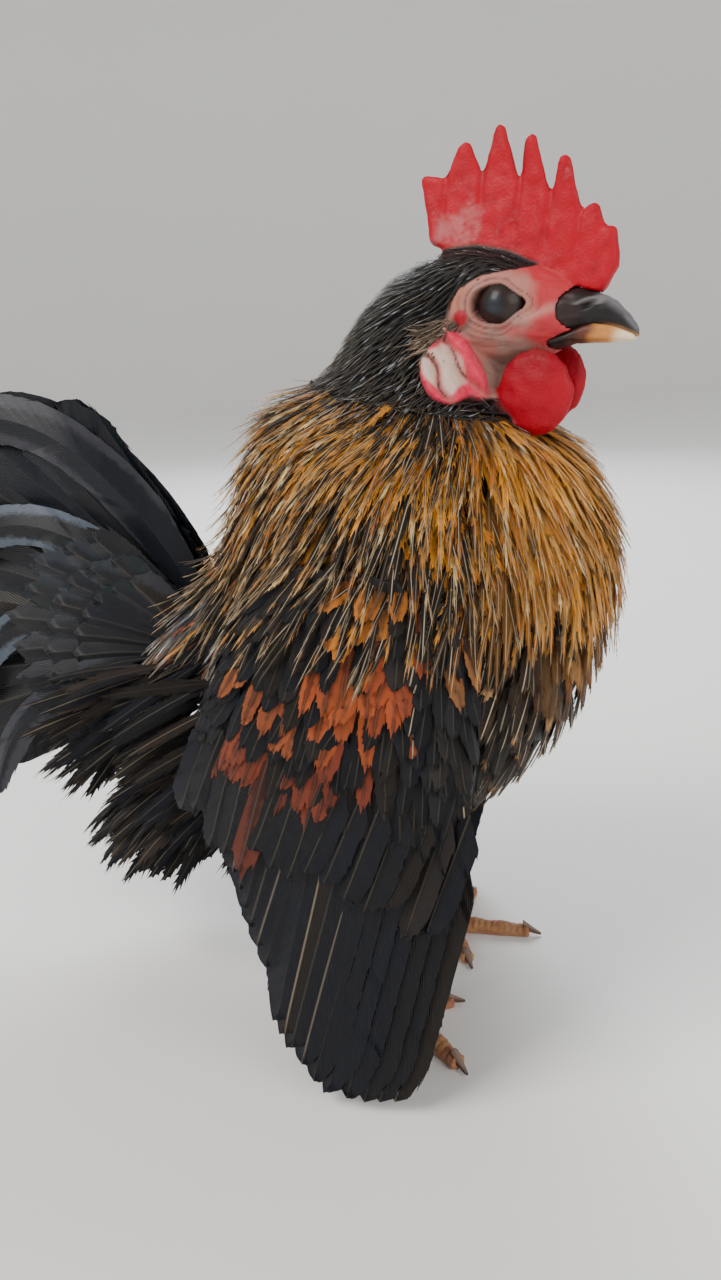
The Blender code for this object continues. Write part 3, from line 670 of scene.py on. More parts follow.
# The skin under the body feathers is painted near black, as the shade deep in the coat.
paint(body_skin, "tone", np.tile(UNDER_COAT_SHADE, (len(body_skin.vertices), 1)))
head_skin = fused(HEAD_NODES, 0.32, 0.56, 5)
parts_of_head = head_parts(head_skin)
sculpt_head(head_skin, parts_of_head)
paint(head_skin, "tone", head_paint(parts_of_head))
leg_skin = fused(LEG_NODES, 0.25, 0.6, 4)
paint(leg_skin, "tone", sculpt_leg(leg_skin))
wing_form = {side: fused(("wing_coverts_" + side,), 0.3, 1.1, 8) for side in SIDES}
wing_skins = [form.copy() for form in wing_form.values()]
for wing_skin in wing_skins:
    move_points(wing_skin, points_of(wing_skin) - normals_of(wing_skin) * WING_COAT_DEPTH)
    # The skin under the wing coverts is painted near black, as the shade deep in the coat.
    paint(wing_skin, "tone", np.tile(UNDER_COAT_SHADE, (len(wing_skin.vertices), 1)))
skin = join_meshes("skin", (body_skin, *wing_skins, head_skin, leg_skin), skin_finish())
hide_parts(*sorted(set(HEAD_NODES + BODY_NODES + LEG_NODES)
                          - {"eye_left", "eye_right", "cape", "saddle", "vent_fluff"}))
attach(skin, "root")

# Eyes.
# Each eye is a wet, dark ball that sits in its socket behind the lids. A black pupil lies in a deep brown
# iris, with a faint blue reflection painted over its middle, and the clear cornea bulges a little over both.
PUPIL = 2.3
IRIS = 4.3
CORNEA_BULGE = 0.45
EYE_STEPS = (28, 40)
PUPIL_BLACK = (0.007, 0.007, 0.009)
PUPIL_REFLECTION = (0.020, 0.023, 0.032)
IRIS_BROWN = (0.020, 0.011, 0.008)
EYE_RIM = (0.012, 0.006, 0.005)


def eye_finish():
    material, graph = finish("wet_eye")
    place = graph.add("ShaderNodeTexCoord", out=3)
    threads = graph.noise(place, 1600.0, 3.0, 0.7)
    color = graph.painted("tone") * (0.9 + 0.2 * threads)
    rough = 0.34 + 0.1 * threads
    finish_with(graph, Base_Color=color, Roughness=rough, Coat_Weight=0.15, Coat_Roughness=0.15, IOR=1.3)
    return material


def add_eye(side, material):
    out, radius, depth = EYE_BALL
    way = 1 if side == "left" else -1
    rings, around = EYE_STEPS
    points, tones = [], []
    shape = bmesh.new()
    bmesh.ops.create_uvsphere(shape, u_segments=around, v_segments=rings, radius=1)
    for vertex in shape.verts:
        a, b, c = vertex.co
        off = math.hypot(a, b) * radius
        swell = CORNEA_BULGE * math.exp(-((off / 3.4) ** 2)) * (c > 0)
        points.append((EYE_PLACE[0] + a * radius, way * (out + c * depth + swell), EYE_PLACE[1] + b * radius))
        # A painted blue reflection over the pupil's middle.
        reflection_share = math.exp(-((off / 2.2) ** 2))
        pupil = np.array(PUPIL_BLACK) * (1 - reflection_share) + np.array(PUPIL_REFLECTION) * reflection_share
        share = float(ease(PUPIL - 0.3, PUPIL + 0.3, off))
        tone = pupil * (1 - share) + np.array(IRIS_BROWN) * share
        share = float(ease(IRIS - 0.5, IRIS + 0.2, off))
        tones.append(tone * (1 - share) + np.array(EYE_RIM) * share)
    mesh = bpy.data.meshes.new("eye")
    if way < 0:
        bmesh.ops.reverse_faces(shape, faces=shape.faces)
    shape.to_mesh(mesh)
    shape.free()
    move_points(mesh, from_head(np.array(points)))
    paint(mesh, "tone", np.array(tones))
    mesh.materials.append(material)
    mesh.shade_smooth()
    eye = put_in_scene("eyeball_" + side, mesh)
    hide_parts("eye_" + side)
    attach(eye, "root")


wet_eye = eye_finish()
for eye_side in SIDES:
    add_eye(eye_side, wet_eye)

# Beak and claws.
# Horn sheaths over bone. The upper beak is black-brown, with a painted grey highlight along its ridge and a
# slit nostril near its root whose hollow is painted dark as shade, the lower one runs from dark brown through
# orange to cream, and the claws are dark with pale undersides and a painted highlight along their tops.
NOSTRIL = (36.6, 181.6)
# Distance forward of the head's turning line, then the heights of the upper beak's ridge and lower edge.
BEAK_STATIONS = (26, 31, 35.5, 40, 44, 47)
BEAK_RIDGE = (183, 186, 185.4, 183.5, 180.4, 176.5)
BEAK_LOWER_EDGE = (175.5, 176.4, 177.2, 177.3, 176, 174.5)
# Each claw is set back into its toe by this much.
CLAW_SET = 2.2
BEAK_BLACK = (0.010, 0.008, 0.009)
BEAK_BROWN = (0.030, 0.015, 0.013)
RIDGE_HIGHLIGHT = (0.20, 0.20, 0.21)
BEAK_LIP = (0.42, 0.22, 0.09)
NOSTRIL_SHADE = (0.006, 0.004, 0.004)
NOSTRIL_FLAP = (0.35, 0.33, 0.32)
LOWER_DARK = (0.016, 0.009, 0.009)
LOWER_BROWN = (0.09, 0.025, 0.012)
LOWER_ORANGE = (0.50, 0.20, 0.05)
LOWER_CREAM = (0.78, 0.62, 0.40)
CLAW_ROOT = (0.10, 0.045, 0.03)
CLAW_TIP = (0.018, 0.013, 0.014)
CLAW_TOP_HIGHLIGHT = (0.30, 0.24, 0.19)
CLAW_UNDERSIDE = (0.22, 0.13, 0.09)


def horn_finish():
    material, graph = finish("horn")
    place = graph.add("ShaderNodeTexCoord", out=3)
    streak = graph.noise(place * (260.0, 900.0, 900.0), 1.0, 4.0, 0.6)
    color = graph.painted("tone") * (0.6 + 0.8 * streak)
    rough = 0.32 + 0.3 * streak
    normal = graph.bumped(streak, 0.00012, 0.5)
    finish_with(graph, Base_Color=color, Roughness=rough, Normal=normal, Specular_IOR_Level=0.3)
    return material


def upper_tone(head):
    f, width, z = head[:, 0], np.abs(head[:, 1]), head[:, 2]
    noise = ripple(head, 1.5, 41)
    ridge = np.interp(f, BEAK_STATIONS, BEAK_RIDGE)
    color = blended(ease(38, 31, f + noise) * 0.8, BEAK_BLACK, BEAK_BROWN)
    # A painted grey highlight along the ridge of the beak's front part.
    color = blended(bell(z - ridge, 1.1) * ease(37, 40, f) * 0.6, color, RIDGE_HIGHLIGHT)
    low = np.interp(f, BEAK_STATIONS, BEAK_LOWER_EDGE)
    return blended(ease(1.3, 0.2, z - low) * ease(39, 43, f) * 0.7, color, BEAK_LIP)


def lower_tone(head):
    f = head[:, 0] - 1.2 + 0.8 * ripple(head, 2, 43)
    color = blended(ease(30, 35, f), LOWER_DARK, LOWER_BROWN)
    color = blended(ease(35, 38.5, f), color, LOWER_ORANGE)
    return blended(ease(39, 44.5, f), color, LOWER_CREAM)


def add_beak(node, tone_of, material):
    mesh = fused((node,), 0.12, 0.32, 12)
    mesh.shade_smooth()
    head = to_head(points_of(mesh))
    normal = to_head_way(normals_of(mesh))
    ahead = head[:, 0] - NOSTRIL[0]
    slit = np.hypot(ahead / 2.0, (head[:, 2] - NOSTRIL[1] - 0.3 * ahead) / 0.8)
    upper = node == "beak_upper"
    hole = bell(slit, 0.8) * (np.abs(head[:, 1]) > 1.5) * upper
    flap = bell(slit - 1.5, 0.5) * (head[:, 2] > NOSTRIL[1]) * upper
    push = -0.95 * hole + 0.3 * flap + 0.05 * ripple(head, 1.4, 45)
    head += normal * push[:, None]
    if not upper:
        head[:, 2] += 1.1 * ease(0.1, 0.6, normal[:, 2]) * ease(33, 37, head[:, 0])
        head[:, 2] += np.clip(176 - head[:, 2], 0, 9) * 0.4 * ease(35, 45, head[:, 0])
    # The nostril's hollow is painted near black, as painted shade.
    tone = blended(np.clip(hole, 0, 1), tone_of(head), NOSTRIL_SHADE)
    tone = blended(flap * 0.3, tone, NOSTRIL_FLAP)
    move_points(mesh, from_head(head))
    paint(mesh, "tone", tone)
    mesh.materials.append(material)
    beak = put_in_scene(node.replace("beak_", "") + "_beak", mesh)
    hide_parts(node)
    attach(beak, "root")


def add_claws(material):
    meshes = []
    nodes = [f"claw_{toe}_{side}" for side in SIDES for toe in ("middle", "inner", "outer", "hind")]
    for node in nodes:
        low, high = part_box(node)
        side = node.split("_")[2]
        hub = np.array(FOOT_HUBS[side])
        middle = np.array([(low.x + high.x) / 2, (low.y + high.y) / 2]) / MM
        run = (middle - hub) / np.linalg.norm(middle - hub)
        mesh = fused((node,), 0.2, 0.22, 6)
        move_points(mesh, points_of(mesh) - np.append(run, 0) * CLAW_SET)
        points = points_of(mesh)
        share = (points[:, :2] - hub) @ run - (middle - hub) @ run
        under = ease(0.1, -0.5, normals_of(mesh)[:, 2])
        tone = blended(ease(-2.5, 2.5, share), CLAW_ROOT, CLAW_TIP)
        # The upward-facing tops of the claws are painted paler, as a painted highlight.
        tone = blended(bell(normals_of(mesh)[:, 2] - 0.8, 0.25) * 0.5, tone, CLAW_TOP_HIGHLIGHT)
        paint(mesh, "tone", blended(under * 0.4, tone, CLAW_UNDERSIDE))
        meshes.append(mesh)
    claws = join_meshes("claws", meshes, material)
    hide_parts(*nodes)
    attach(claws, "root")


horn = horn_finish()
add_beak("beak_upper", upper_tone, horn)
add_beak("beak_lower", lower_tone, horn)
add_claws(horn)

# Feathers of the neck, hackle, breast and belly.
# Every feather is a shaft with thin barbs that part towards their ends. Each grows from the skin, lies
# along the body over the root of the next, and carries its own marks: a dark middle, a gold edge, a pale tip.
PATCH = 0.003
BARBS = 10
TRUNK_GIRTH = ((0, 3, 6, 8, 9, 10, 11), (150, 250, 250, 175, 140, 100, 60))
# Least half width of a vane, so that its two sides meet at the tip.
VANE_MEETING = 0.004
# Middle line of the neck and trunk from belly to skull: x, z and how far its sections lean, in degrees.
TRUNK_LINE = (
    (39.3, 48.5, 4),
    (42.3, 60, 4),
    (48.8, 78.5, 4),
    (56.3, 99.5, 3),
    (62.3, 118, 0),
    (64.3, 133, 1),
    (63.6, 147, 3),
    (64.8, 157.8, 10),
    (67.8, 163.3, 11),
    (67.8, 171, 16),
    (70.1, 179.8, 28),
    (72.8, 186.8, 42),
)

# Stretch of the trunk line that each coat grows from, counted in its points.
NECK_SPAN = (7.5, 10.2)
HACKLE_SPAN = (4.3, 8.5)
BREAST_SPAN = (0.1, 5.8)

BLACK = (0.0030, 0.0034, 0.0050)
BROWN_BLACK = (0.0085, 0.0058, 0.0045)
SHEEN_BLUE_GREY = (0.20, 0.25, 0.33)
GOLD = (0.60, 0.235, 0.020)
DEEP_GOLD = (0.42, 0.125, 0.010)
STRAW = (0.78, 0.58, 0.28)
TAN = (0.40, 0.22, 0.09)
RUSSET = (0.26, 0.05, 0.016)
PALE_GOLD = (0.62, 0.31, 0.07)
HACKLE_DARK = (0.045, 0.030, 0.020)
BREAST_BROWN = (0.05, 0.03, 0.018)
SHAFT_PALE = (0.62, 0.50, 0.34)


def leaf_width(x):
    """Half width along a body feather."""
    return (math.sin(math.pi * min(1, x * 0.93 + 0.05)) ** 0.62) * (0.55 + 0.45 * x)


def hackle_width(x):
    """Half width along a pointed hackle."""
    return (min(1, x * 5 + 0.15)) * (1 - x) ** 0.62 * 1.08 + 0.01


def quill_width(x):
    """Half width along a flight or tail feather."""
    return min(1, 0.35 + x * 3) * min(1, (1.02 - x) * 5.2) ** 0.55


def feather(name, width_at, barbs, lean, closed, fray, seed, cup=0.22):
    """A flat feather along X with half width 1: barbs that touch near the shaft and taper apart outside."""
    draw = np.random.default_rng(seed)
    points, vanes, faces = [], [], []

    def add(x, y, z, number):
        points.append((x, y, z))
        vanes.append((x, y, number))
        return len(points) - 1

    for side in (1, -1):
        lines = []
        for k in range(barbs + 1):
            root = 0.02 + 0.93 * k / barbs
            end = min(1.0, root + lean * (1 - 0.5 * root))
            reach = width_at(end) if end < 1 else 0.0
            number = draw.random()
            shaft = add(root, 0.0, 0.05, number)
            x = root + (end - root) * closed
            y = reach * closed
            inner = add(x, side * max(y, VANE_MEETING), -cup * y * y, number)
            lines.append((shaft, inner, root, end, reach))
        for k in range(barbs):
            shaft, inner, root, end, reach = lines[k]
            next_shaft, next_inner, next_root, next_end, next_reach = lines[k + 1]
            number = draw.random()
            tip_x = (end + next_end) / 2 + draw.normal() * fray * 0.06
            tip_y = (reach + next_reach) / 2 * (1 - fray * draw.random() * 0.5)
            root_x, root_y = points[inner][0], abs(points[inner][1])
            far_x, far_y = points[next_inner][0], abs(points[next_inner][1])
            mid = [
                add((root_x * 0.5 + tip_x * 0.5) * 0.8 + far_x * 0.1 + tip_x * 0.1,
                    side * (root_y * 0.5 + tip_y * 0.5), -cup * ((root_y + tip_y) / 2) ** 2, number),
                add((far_x * 0.5 + tip_x * 0.5) * 0.9 + root_x * 0.1,
                    side * (far_y * 0.5 + tip_y * 0.5), -cup * ((far_y + tip_y) / 2) ** 2, number),
            ]
            tip = add(tip_x, side * tip_y, -cup * tip_y * tip_y + draw.normal() * 0.05 * fray, number)
            barb = (
                (shaft, next_shaft, next_inner, inner),
                (inner, next_inner, mid[1], mid[0]),
                (mid[0], mid[1], tip),
            )
            faces += [face[::-1] if side > 0 else face for face in barb]
    mesh = bpy.data.meshes.new(name)
    mesh.from_pydata(points, [], faces)
    layer = mesh.attributes.new("vane", "FLOAT_VECTOR", "POINT")
    layer.data.foreach_set("vector", np.array(vanes, np.float32).ravel())
    mesh.shade_smooth()
    return bpy.data.objects.new(name, mesh)


def feather_box(name, width_at, lean, closed, fray, seed, barbs=BARBS, kinds=4, cup=0.22):
    """A set of like feathers that a coat draws from."""
    box = bpy.data.collections.new(name)
    for kind in range(kinds):
        box.objects.link(feather(f"{name}_{kind}", width_at, barbs, lean, closed, fray, seed + kind, cup))
    return box


def coat_tree():
    """Sets a feather on every root and bends it along the curve that the root carries."""
    tree = bpy.data.node_groups.new("coat", "GeometryNodeTree")
    for name, way, kind in (
        ("Roots", "INPUT", "NodeSocketGeometry"),
        ("Feathers", "INPUT", "NodeSocketCollection"),
        ("Finish", "INPUT", "NodeSocketMaterial"),
        ("Patch", "INPUT", "NodeSocketFloat"),
        ("Coat", "OUTPUT", "NodeSocketGeometry"),
    ):
        tree.interface.new_socket(name=name, in_out=way, socket_type=kind)
    graph = Graph(tree)
    given = graph.add("NodeGroupInput").socket.node
    roots, feathers, coat_finish, patch = (Wire(graph, socket) for socket in given.outputs[:4])

    def held(name, kind="FLOAT_VECTOR"):
        return graph.add("GeometryNodeInputNamedAttribute", {"data_type": kind}, {"Name": name})

    box = graph.add("GeometryNodeCollectionInfo", {}, {0: feathers, 1: True, 2: True})
    pick = graph.add("FunctionNodeRandomValue", {"data_type": "INT"}, {4: 0, 5: 1000, 8: 11}, 2)
    values = {0: roots, 2: box, 3: True, 4: pick}
    placed = graph.add("GeometryNodeInstanceOnPoints", {}, values)
    coat = graph.add("GeometryNodeRealizeInstances", {}, {0: placed})
    first, second, third, last = (held(name) for name in ("first", "second", "third", "last"))
    x, y, z = graph.parts(graph.add("GeometryNodeInputPosition") - first)
    far = 1 - x
    curve = first * far**3 + second * (3 * x * far * far) + third * (3 * x * x * far) + last * x**3
    run = (second - first) * (far * far) + (third - second) * (2 * x * far) + (last - third) * (x * x)
    across = held("face").math("CROSS_PRODUCT", run).math("NORMALIZE")
    over = run.math("CROSS_PRODUCT", across).math("NORMALIZE")
    wide = held("wide", "FLOAT")
    place = curve + across * (y * wide) + over * (z * wide)
    coat = graph.add("GeometryNodeSetPosition", {}, {0: coat, 2: place})
    u, v, _ = graph.parts(held("place"))
    corner = graph.add("ShaderNodeCombineXYZ", {}, {0: u + x * patch, 1: v + (y * 0.5 + 0.5) * patch})
    settings = {"data_type": "FLOAT2", "domain": "CORNER"}
    coat = graph.add("GeometryNodeStoreNamedAttribute", settings, {0: coat, 2: "OFBake", 3: corner})
    for name in ("first", "second", "third", "last", "face", "wide", "place"):
        coat = graph.add("GeometryNodeRemoveAttribute", {}, {0: coat, 1: name})
    coat = graph.add("GeometryNodeRealizeInstances", {}, {0: coat})
    coat = graph.add("GeometryNodeSetMaterial", {}, {0: coat, 2: coat_finish})
    graph.add("NodeGroupOutput", {}, {0: coat})
    return tree


def plumage_finish(name, roughness, sheen, sheen_tint, gloss=0.0, depth=0.0001):
    """Feather colour from each feather's own marks, with fine barbs in colour and relief."""
    material, graph = finish(name)
    vane = graph.add("ShaderNodeAttribute", {"attribute_name": "vane"}, out=1)
    x, y, number = graph.parts(vane)
    marks = graph.add("ShaderNodeAttribute", {"attribute_name": "marks"}, out=1)
    stripe, tip_from, shaft = graph.parts(marks)
    place = graph.add("ShaderNodeTexCoord", out=3)
    y = y.math("ABSOLUTE")
    cloud = graph.noise(place, 420.0, 3.0, 0.6) - 0.5
    hairs = ((x * 46.0 - y * 15.0 + number * 0.7) * 6.283).math("SINE") * 0.5 + 0.5
    middle = ((stripe * (1.25 - x) - y + cloud * 0.5) * 5.0 + 0.5).limited()
    end = ((x - tip_from + y * 0.12 + cloud * 0.3) * 6.0).limited()
    color = graph.mixed(middle, graph.painted("edge"), graph.painted("middle"))
    color = graph.mixed(end, color, graph.painted("tip"))
    color = color * (0.74 + 0.36 * hairs + 0.22 * number)
    line = ((0.055 - y) * 40.0).limited() * shaft
    color = graph.mixed(line, color, SHAFT_PALE)
    normal = graph.bumped(hairs + 0.5 * cloud, depth, 0.8)
    rough = (roughness + 0.14 * cloud + 0.1 * number).limited()
    finish_with(
        graph,
        Base_Color=color,
        Roughness=rough,
        Normal=normal,
        Sheen_Weight=sheen,
        Sheen_Roughness=0.4,
        Specular_IOR_Level=0.2,
        Sheen_Tint=sheen_tint,
        Coat_Weight=gloss,
        Coat_Roughness=0.3,
    )
    return material


def turn_to(values):
    """Each row at length 1."""
    return values / np.maximum(np.linalg.norm(values, axis=1), 1e-9)[:, None]


def nearest_on(tree, points):
    """The nearest surface point and its outward normal, for each point."""
    found = [tree.find_nearest(Vector(p)) for p in points]
    return np.array([hit[0] for hit in found]), np.array([hit[1] for hit in found])


def lying(roots, normals, lies, length, depth, lift, tree):
    """The four controls of each feather's curve: from the skin, rising slowly, to a tip on the surface."""
    length, depth, lift = length[:, None], depth[:, None], lift[:, None]
    far, far_normal = nearest_on(tree, roots + lies * length * 0.66)
    tip, tip_normal = nearest_on(tree, far + turn_to(far - roots) * length * 0.34)
    controls = (
        roots - normals * depth,
        roots + lies * length * 0.33 - normals * depth * 0.62,
        far - far_normal * depth * 0.28 + far_normal * lift * 0.25,
        tip + tip_normal * lift,
    )
    return controls, turn_to(normals + far_normal)


def grow(name, controls, faces, wide, places, look, kind, nodes=()):
    """Makes one coat piece: a point for each root that holds its feather's curve, size and marks."""
    mesh = bpy.data.meshes.new(name)
    mesh.from_pydata([tuple(p) for p in controls[0] * MM], [], [])
    vectors = dict(zip(("first", "second", "third", "last"), (c * MM for c in controls)))
    vectors.update(face=faces, place=np.c_[places, np.zeros(len(places))], marks=look["marks"])
    for key, values in vectors.items():
        layer = mesh.attributes.new(key, "FLOAT_VECTOR", "POINT")
        layer.data.foreach_set("vector", np.asarray(values, np.float32).ravel())
    for key in ("edge", "middle", "tip"):
        layer = mesh.attributes.new(key, "FLOAT_COLOR", "POINT")
        layer.data.foreach_set("color", np.c_[look[key], np.ones(len(places))].astype(np.float32).ravel())
    layer = mesh.attributes.new("wide", "FLOAT", "POINT")
    layer.data.foreach_set("value", np.asarray(wide, np.float32) * MM)
    holder = put_in_scene(name + "_roots", mesh)
    growth = holder.modifiers.new("coat", "NODES")
    growth.node_group = coat_group
    given = [item for item in coat_group.interface.items_tree if item.in_out == "INPUT"]
    sockets = {item.name: item.identifier for item in given}
    box, material = kind
    growth[sockets["Feathers"]] = box
    growth[sockets["Finish"]] = material
    growth[sockets["Patch"]] = PATCH
    whole = settled(holder)
    whole.name = name
    piece = put_in_scene(name, whole)
    if nodes:
        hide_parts(*nodes)
    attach(piece, "root")


def drawn(draw, count, **ranges):
    """A value for each feather between the two ends of each named range."""
    return {key: draw.uniform(*ends, count) for key, ends in ranges.items()}


def dress(name, roots, normals, lies, sizes, look, tree, places, kind, nodes=()):
    """Feathers that lie along a surface from the given roots."""
    lies = turn_to(lies - normals * (lies * normals).sum(1)[:, None])
    controls, faces = lying(roots, normals, lies, sizes["length"], sizes["depth"], sizes["lift"], tree)
    spread = np.linalg.norm(controls[3] - roots, axis=1) / sizes["length"]
    good = (spread > 0.62) & (spread < 1.25)
    look = {key: values[good] for key, values in look.items()}
    controls = [control[good] for control in controls]
    grow(name, controls, faces[good], sizes["wide"][good], places[good], look, kind, nodes)


def chosen(draw, count, colors, shares):
    """A colour for each feather, drawn from a few in the given shares and varied a little."""
    picks = draw.choice(len(colors), size=count, p=np.array(shares) / sum(shares))
    return np.array(colors)[picks] * draw.uniform(0.78, 1.22, (count, 1))


def some(draw, count, share):
    """1 for a random share of the feathers, 0 for the others."""
    return (draw.random(count) < share).astype(float)


def trunk_line(s):
    """A point of the trunk's middle line and the way its section faces, for each s."""
    rows = np.array(TRUNK_LINE, float)
    steps = np.arange(len(rows))
    middle = np.c_[np.interp(s, steps, rows[:, 0]), np.zeros(len(s)), np.interp(s, steps, rows[:, 1])]
    lean = np.radians(np.interp(s, steps, rows[:, 2]))
    return middle, np.c_[np.cos(lean), np.zeros(len(s)), -np.sin(lean)]


def on_trunk(tree, s, turn):
    """Outer surface points and normals at places s up the trunk line, turned from the front to the left."""
    middle, front = trunk_line(s)
    way = front * np.cos(turn)[:, None] + np.array([0, 1.0, 0]) * np.sin(turn)[:, None]
    found = [tree.ray_cast(Vector(m + w * 120), Vector(-w)) for m, w in zip(middle, way)]
    good = np.array([hit[0] is not None for hit in found])
    points = np.array([hit[0] if hit[0] else (0, 0, 0) for hit in found], float)
    normals = np.array([hit[1] if hit[0] else (0, 0, 1) for hit in found], float)
    return points, normals, good


def ringed(low, high, step, spacing, draw):
    """Places in staggered rings round the trunk line, from high to low."""
    rings = []
    for s in np.arange(high, low, -step):
        count = max(3, int(np.interp(s, *TRUNK_GIRTH) / spacing))
        turns = np.arange(count) + draw.random() + 0.35 * draw.normal(size=count)
        turns = np.mod(turns / count, 1) * 2 * math.pi - math.pi
        rings.append(np.c_[s + 0.4 * step * draw.normal(size=count), turns])
    return np.concatenate(rings).T


def trunk_roots(tree, span, step, spacing, keep, draw):
    """Roots round the trunk line with the way the feathers lie, down the trunk and a little back."""
    s, turn = ringed(*span, step, spacing, draw)
    roots, normals, good = on_trunk(tree, s, turn)
    below, _, also = on_trunk(tree, s - 0.35, turn)
    good = good & also & keep(turn, roots)
    s, turn, roots, normals, below = (part[good] for part in (s, turn, roots, normals, below))
    swept = np.array([-1.6, 0, 0]) * ease(0.6, 1.8, np.abs(turn))[:, None]
    lies = below - roots + np.array([0, 0, -0.4]) + swept
    lies = turn_to(lies) + 0.13 * draw.normal(size=roots.shape)
    places = np.c_[0.02 + 0.94 * (turn + math.pi) / (2 * math.pi), 0.02 + 0.08 * np.clip(s, 0, 11.9)]
    return s, turn, roots, normals, lies, places


def gold_floor(turn):
    """Height at which the gold of hackle and breast ends, lower towards the front."""
    return 133 - 12 * bell(np.abs(turn), 0.65)


def neck_look(s, turn, draw):
    """Glossy black, here and there with a painted blue-white sheen at the tip, and gold where the hackle
    begins.
    """
    count = len(s)
    low = ease(8.6, 7.6, s + 0.25 * draw.normal(size=count) - 0.5 * bell(np.abs(turn) - 1.2, 0.7))
    dark = chosen(draw, count, (BLACK, BROWN_BLACK), (3, 1))
    edge = blended(low * 0.9, dark, chosen(draw, count, (GOLD, DEEP_GOLD), (1, 1)))
    # The bright feathers get a painted blue-grey sheen on their tips and a paler shaft.
    bright = some(draw, count, 0.22)
    tip = blended(bright, edge, np.array(SHEEN_BLUE_GREY) * draw.uniform(0.6, 1.5, (count, 1)))
    marks = np.c_[0.55 + 0.1 * draw.normal(size=count), 0.95 - 0.23 * bright, 0.25 + 0.5 * bright]
    return {"edge": edge, "middle": np.tile(BLACK, (count, 1)), "tip": tip, "marks": marks}


def hackle_look(s, turn, draw):
    """Gold with a dark middle line, straw tips behind, and clear orange over the breast."""
    count = len(s)
    back = ease(1.4, 2.4, np.abs(turn))
    front = ease(1.1, 0.4, np.abs(turn))
    edge = chosen(draw, count, (GOLD, DEEP_GOLD, PALE_GOLD), (5, 2, 2))
    dark = ease(6.4, 4.9, s + 0.4 * draw.normal(size=count)) * (1 - front)
    round_body = np.c_[s * 5, np.cos(turn) * 26, np.sin(turn) * 26]
    spots = ripple(round_body, 10, 72) + 0.35 * draw.normal(size=count)
    dark = np.maximum(dark, ease(0.5, 0.9, spots) * (1 - 0.5 * back))
    edge = blended(dark * some(draw, count, 0.72), edge, HACKLE_DARK)
    middle = blended(front * 0.8, np.tile(BROWN_BLACK, (count, 1)), GOLD)
    pale = some(draw, count, 0.18 + 0.4 * back) * (1 - dark * 0.7)
    stripe = 0.34 + 0.12 * draw.normal(size=count) - 0.25 * front + 0.3 * dark
    marks = np.c_[stripe, 0.78 + 0.06 * draw.normal(size=count), draw.uniform(0.1, 0.7, count)]
    tip = blended(pale, edge, STRAW)
    tip = blended(some(draw, count, 0.35) * front * ease(7.4, 6.4, s), tip, BROWN_BLACK)
    return {"edge": edge, "middle": middle, "tip": tip, "marks": marks}


def breast_look(roots, turn, draw):
    """Orange above with black spots, then brown-black with pale shafts and a few tan edges."""
    count = len(turn)
    z = roots[:, 2] + 6 * ripple(roots, 12, 71) + 4 * draw.normal(size=count)
    golden = ease(-6, 6, z - gold_floor(turn))
    golden = np.maximum(golden, 0.5 * bell(np.hypot(np.abs(turn) - 0.3, (roots[:, 2] - 108) / 45), 0.2))
    dark = chosen(draw, count, (BROWN_BLACK, BLACK, BREAST_BROWN), (4, 2, 2))
    edge = blended(golden, dark, chosen(draw, count, (GOLD, DEEP_GOLD, TAN), (4, 3, 1.5)))
    middle = blended(golden * 0.75, np.tile(BROWN_BLACK, (count, 1)), GOLD)
    tip = blended(some(draw, count, 0.45) * golden, edge, BLACK)
    tip = blended(some(draw, count, 0.3 * bell(np.abs(turn), 0.6) + 0.08), tip, TAN)
    shaft = draw.random(count) ** 2 * (1 - 0.6 * golden)
    marks = np.c_[0.3 + 0.1 * draw.normal(size=count), 0.86 + 0.05 * draw.normal(size=count), shaft]
    return {"edge": edge, "middle": middle, "tip": tip, "marks": marks}


def clear_of_wings(turn, roots):
    """Leaves out most of what the folded wings hide."""
    return (np.abs(np.abs(turn) - 1.75) > 0.75) | (roots[:, 2] > 112) | (roots[:, 2] < 58)


coat_group = coat_tree()
soft_feathers = feather_box("soft_feather", leaf_width, 0.34, 0.5, 1.0, 100)
hackle_feathers = feather_box("hackle_feather", hackle_width, 0.30, 0.42, 1.0, 200)
black_plumage = plumage_finish("black_plumage", 0.36, 0.04, (0.55, 0.68, 0.95), 0.12)
gold_plumage = plumage_finish("gold_plumage", 0.5, 0.05, (1.0, 0.8, 0.45), 0.03)
wing_surface = {side: surface_of(form) for side, form in wing_form.items()}
outer_surface = surface_of(fused(BODY_NODES + ("wing_coverts_left", "wing_coverts_right"), 1.9, 2.2, 12))


def behind_face(turn, roots):
    return to_head(roots)[:, 0] < bare_edge(roots[:, 2]) - 0.5


def above_breast(turn, roots):
    """Where hackles grow, a little lower over the shoulders."""
    return roots[:, 2] > 121 - 5 * bell(np.abs(turn) - 1.3, 0.5)


def on_breast(turn, roots):
    return (np.abs(turn) < 2.2) & clear_of_wings(turn, roots)


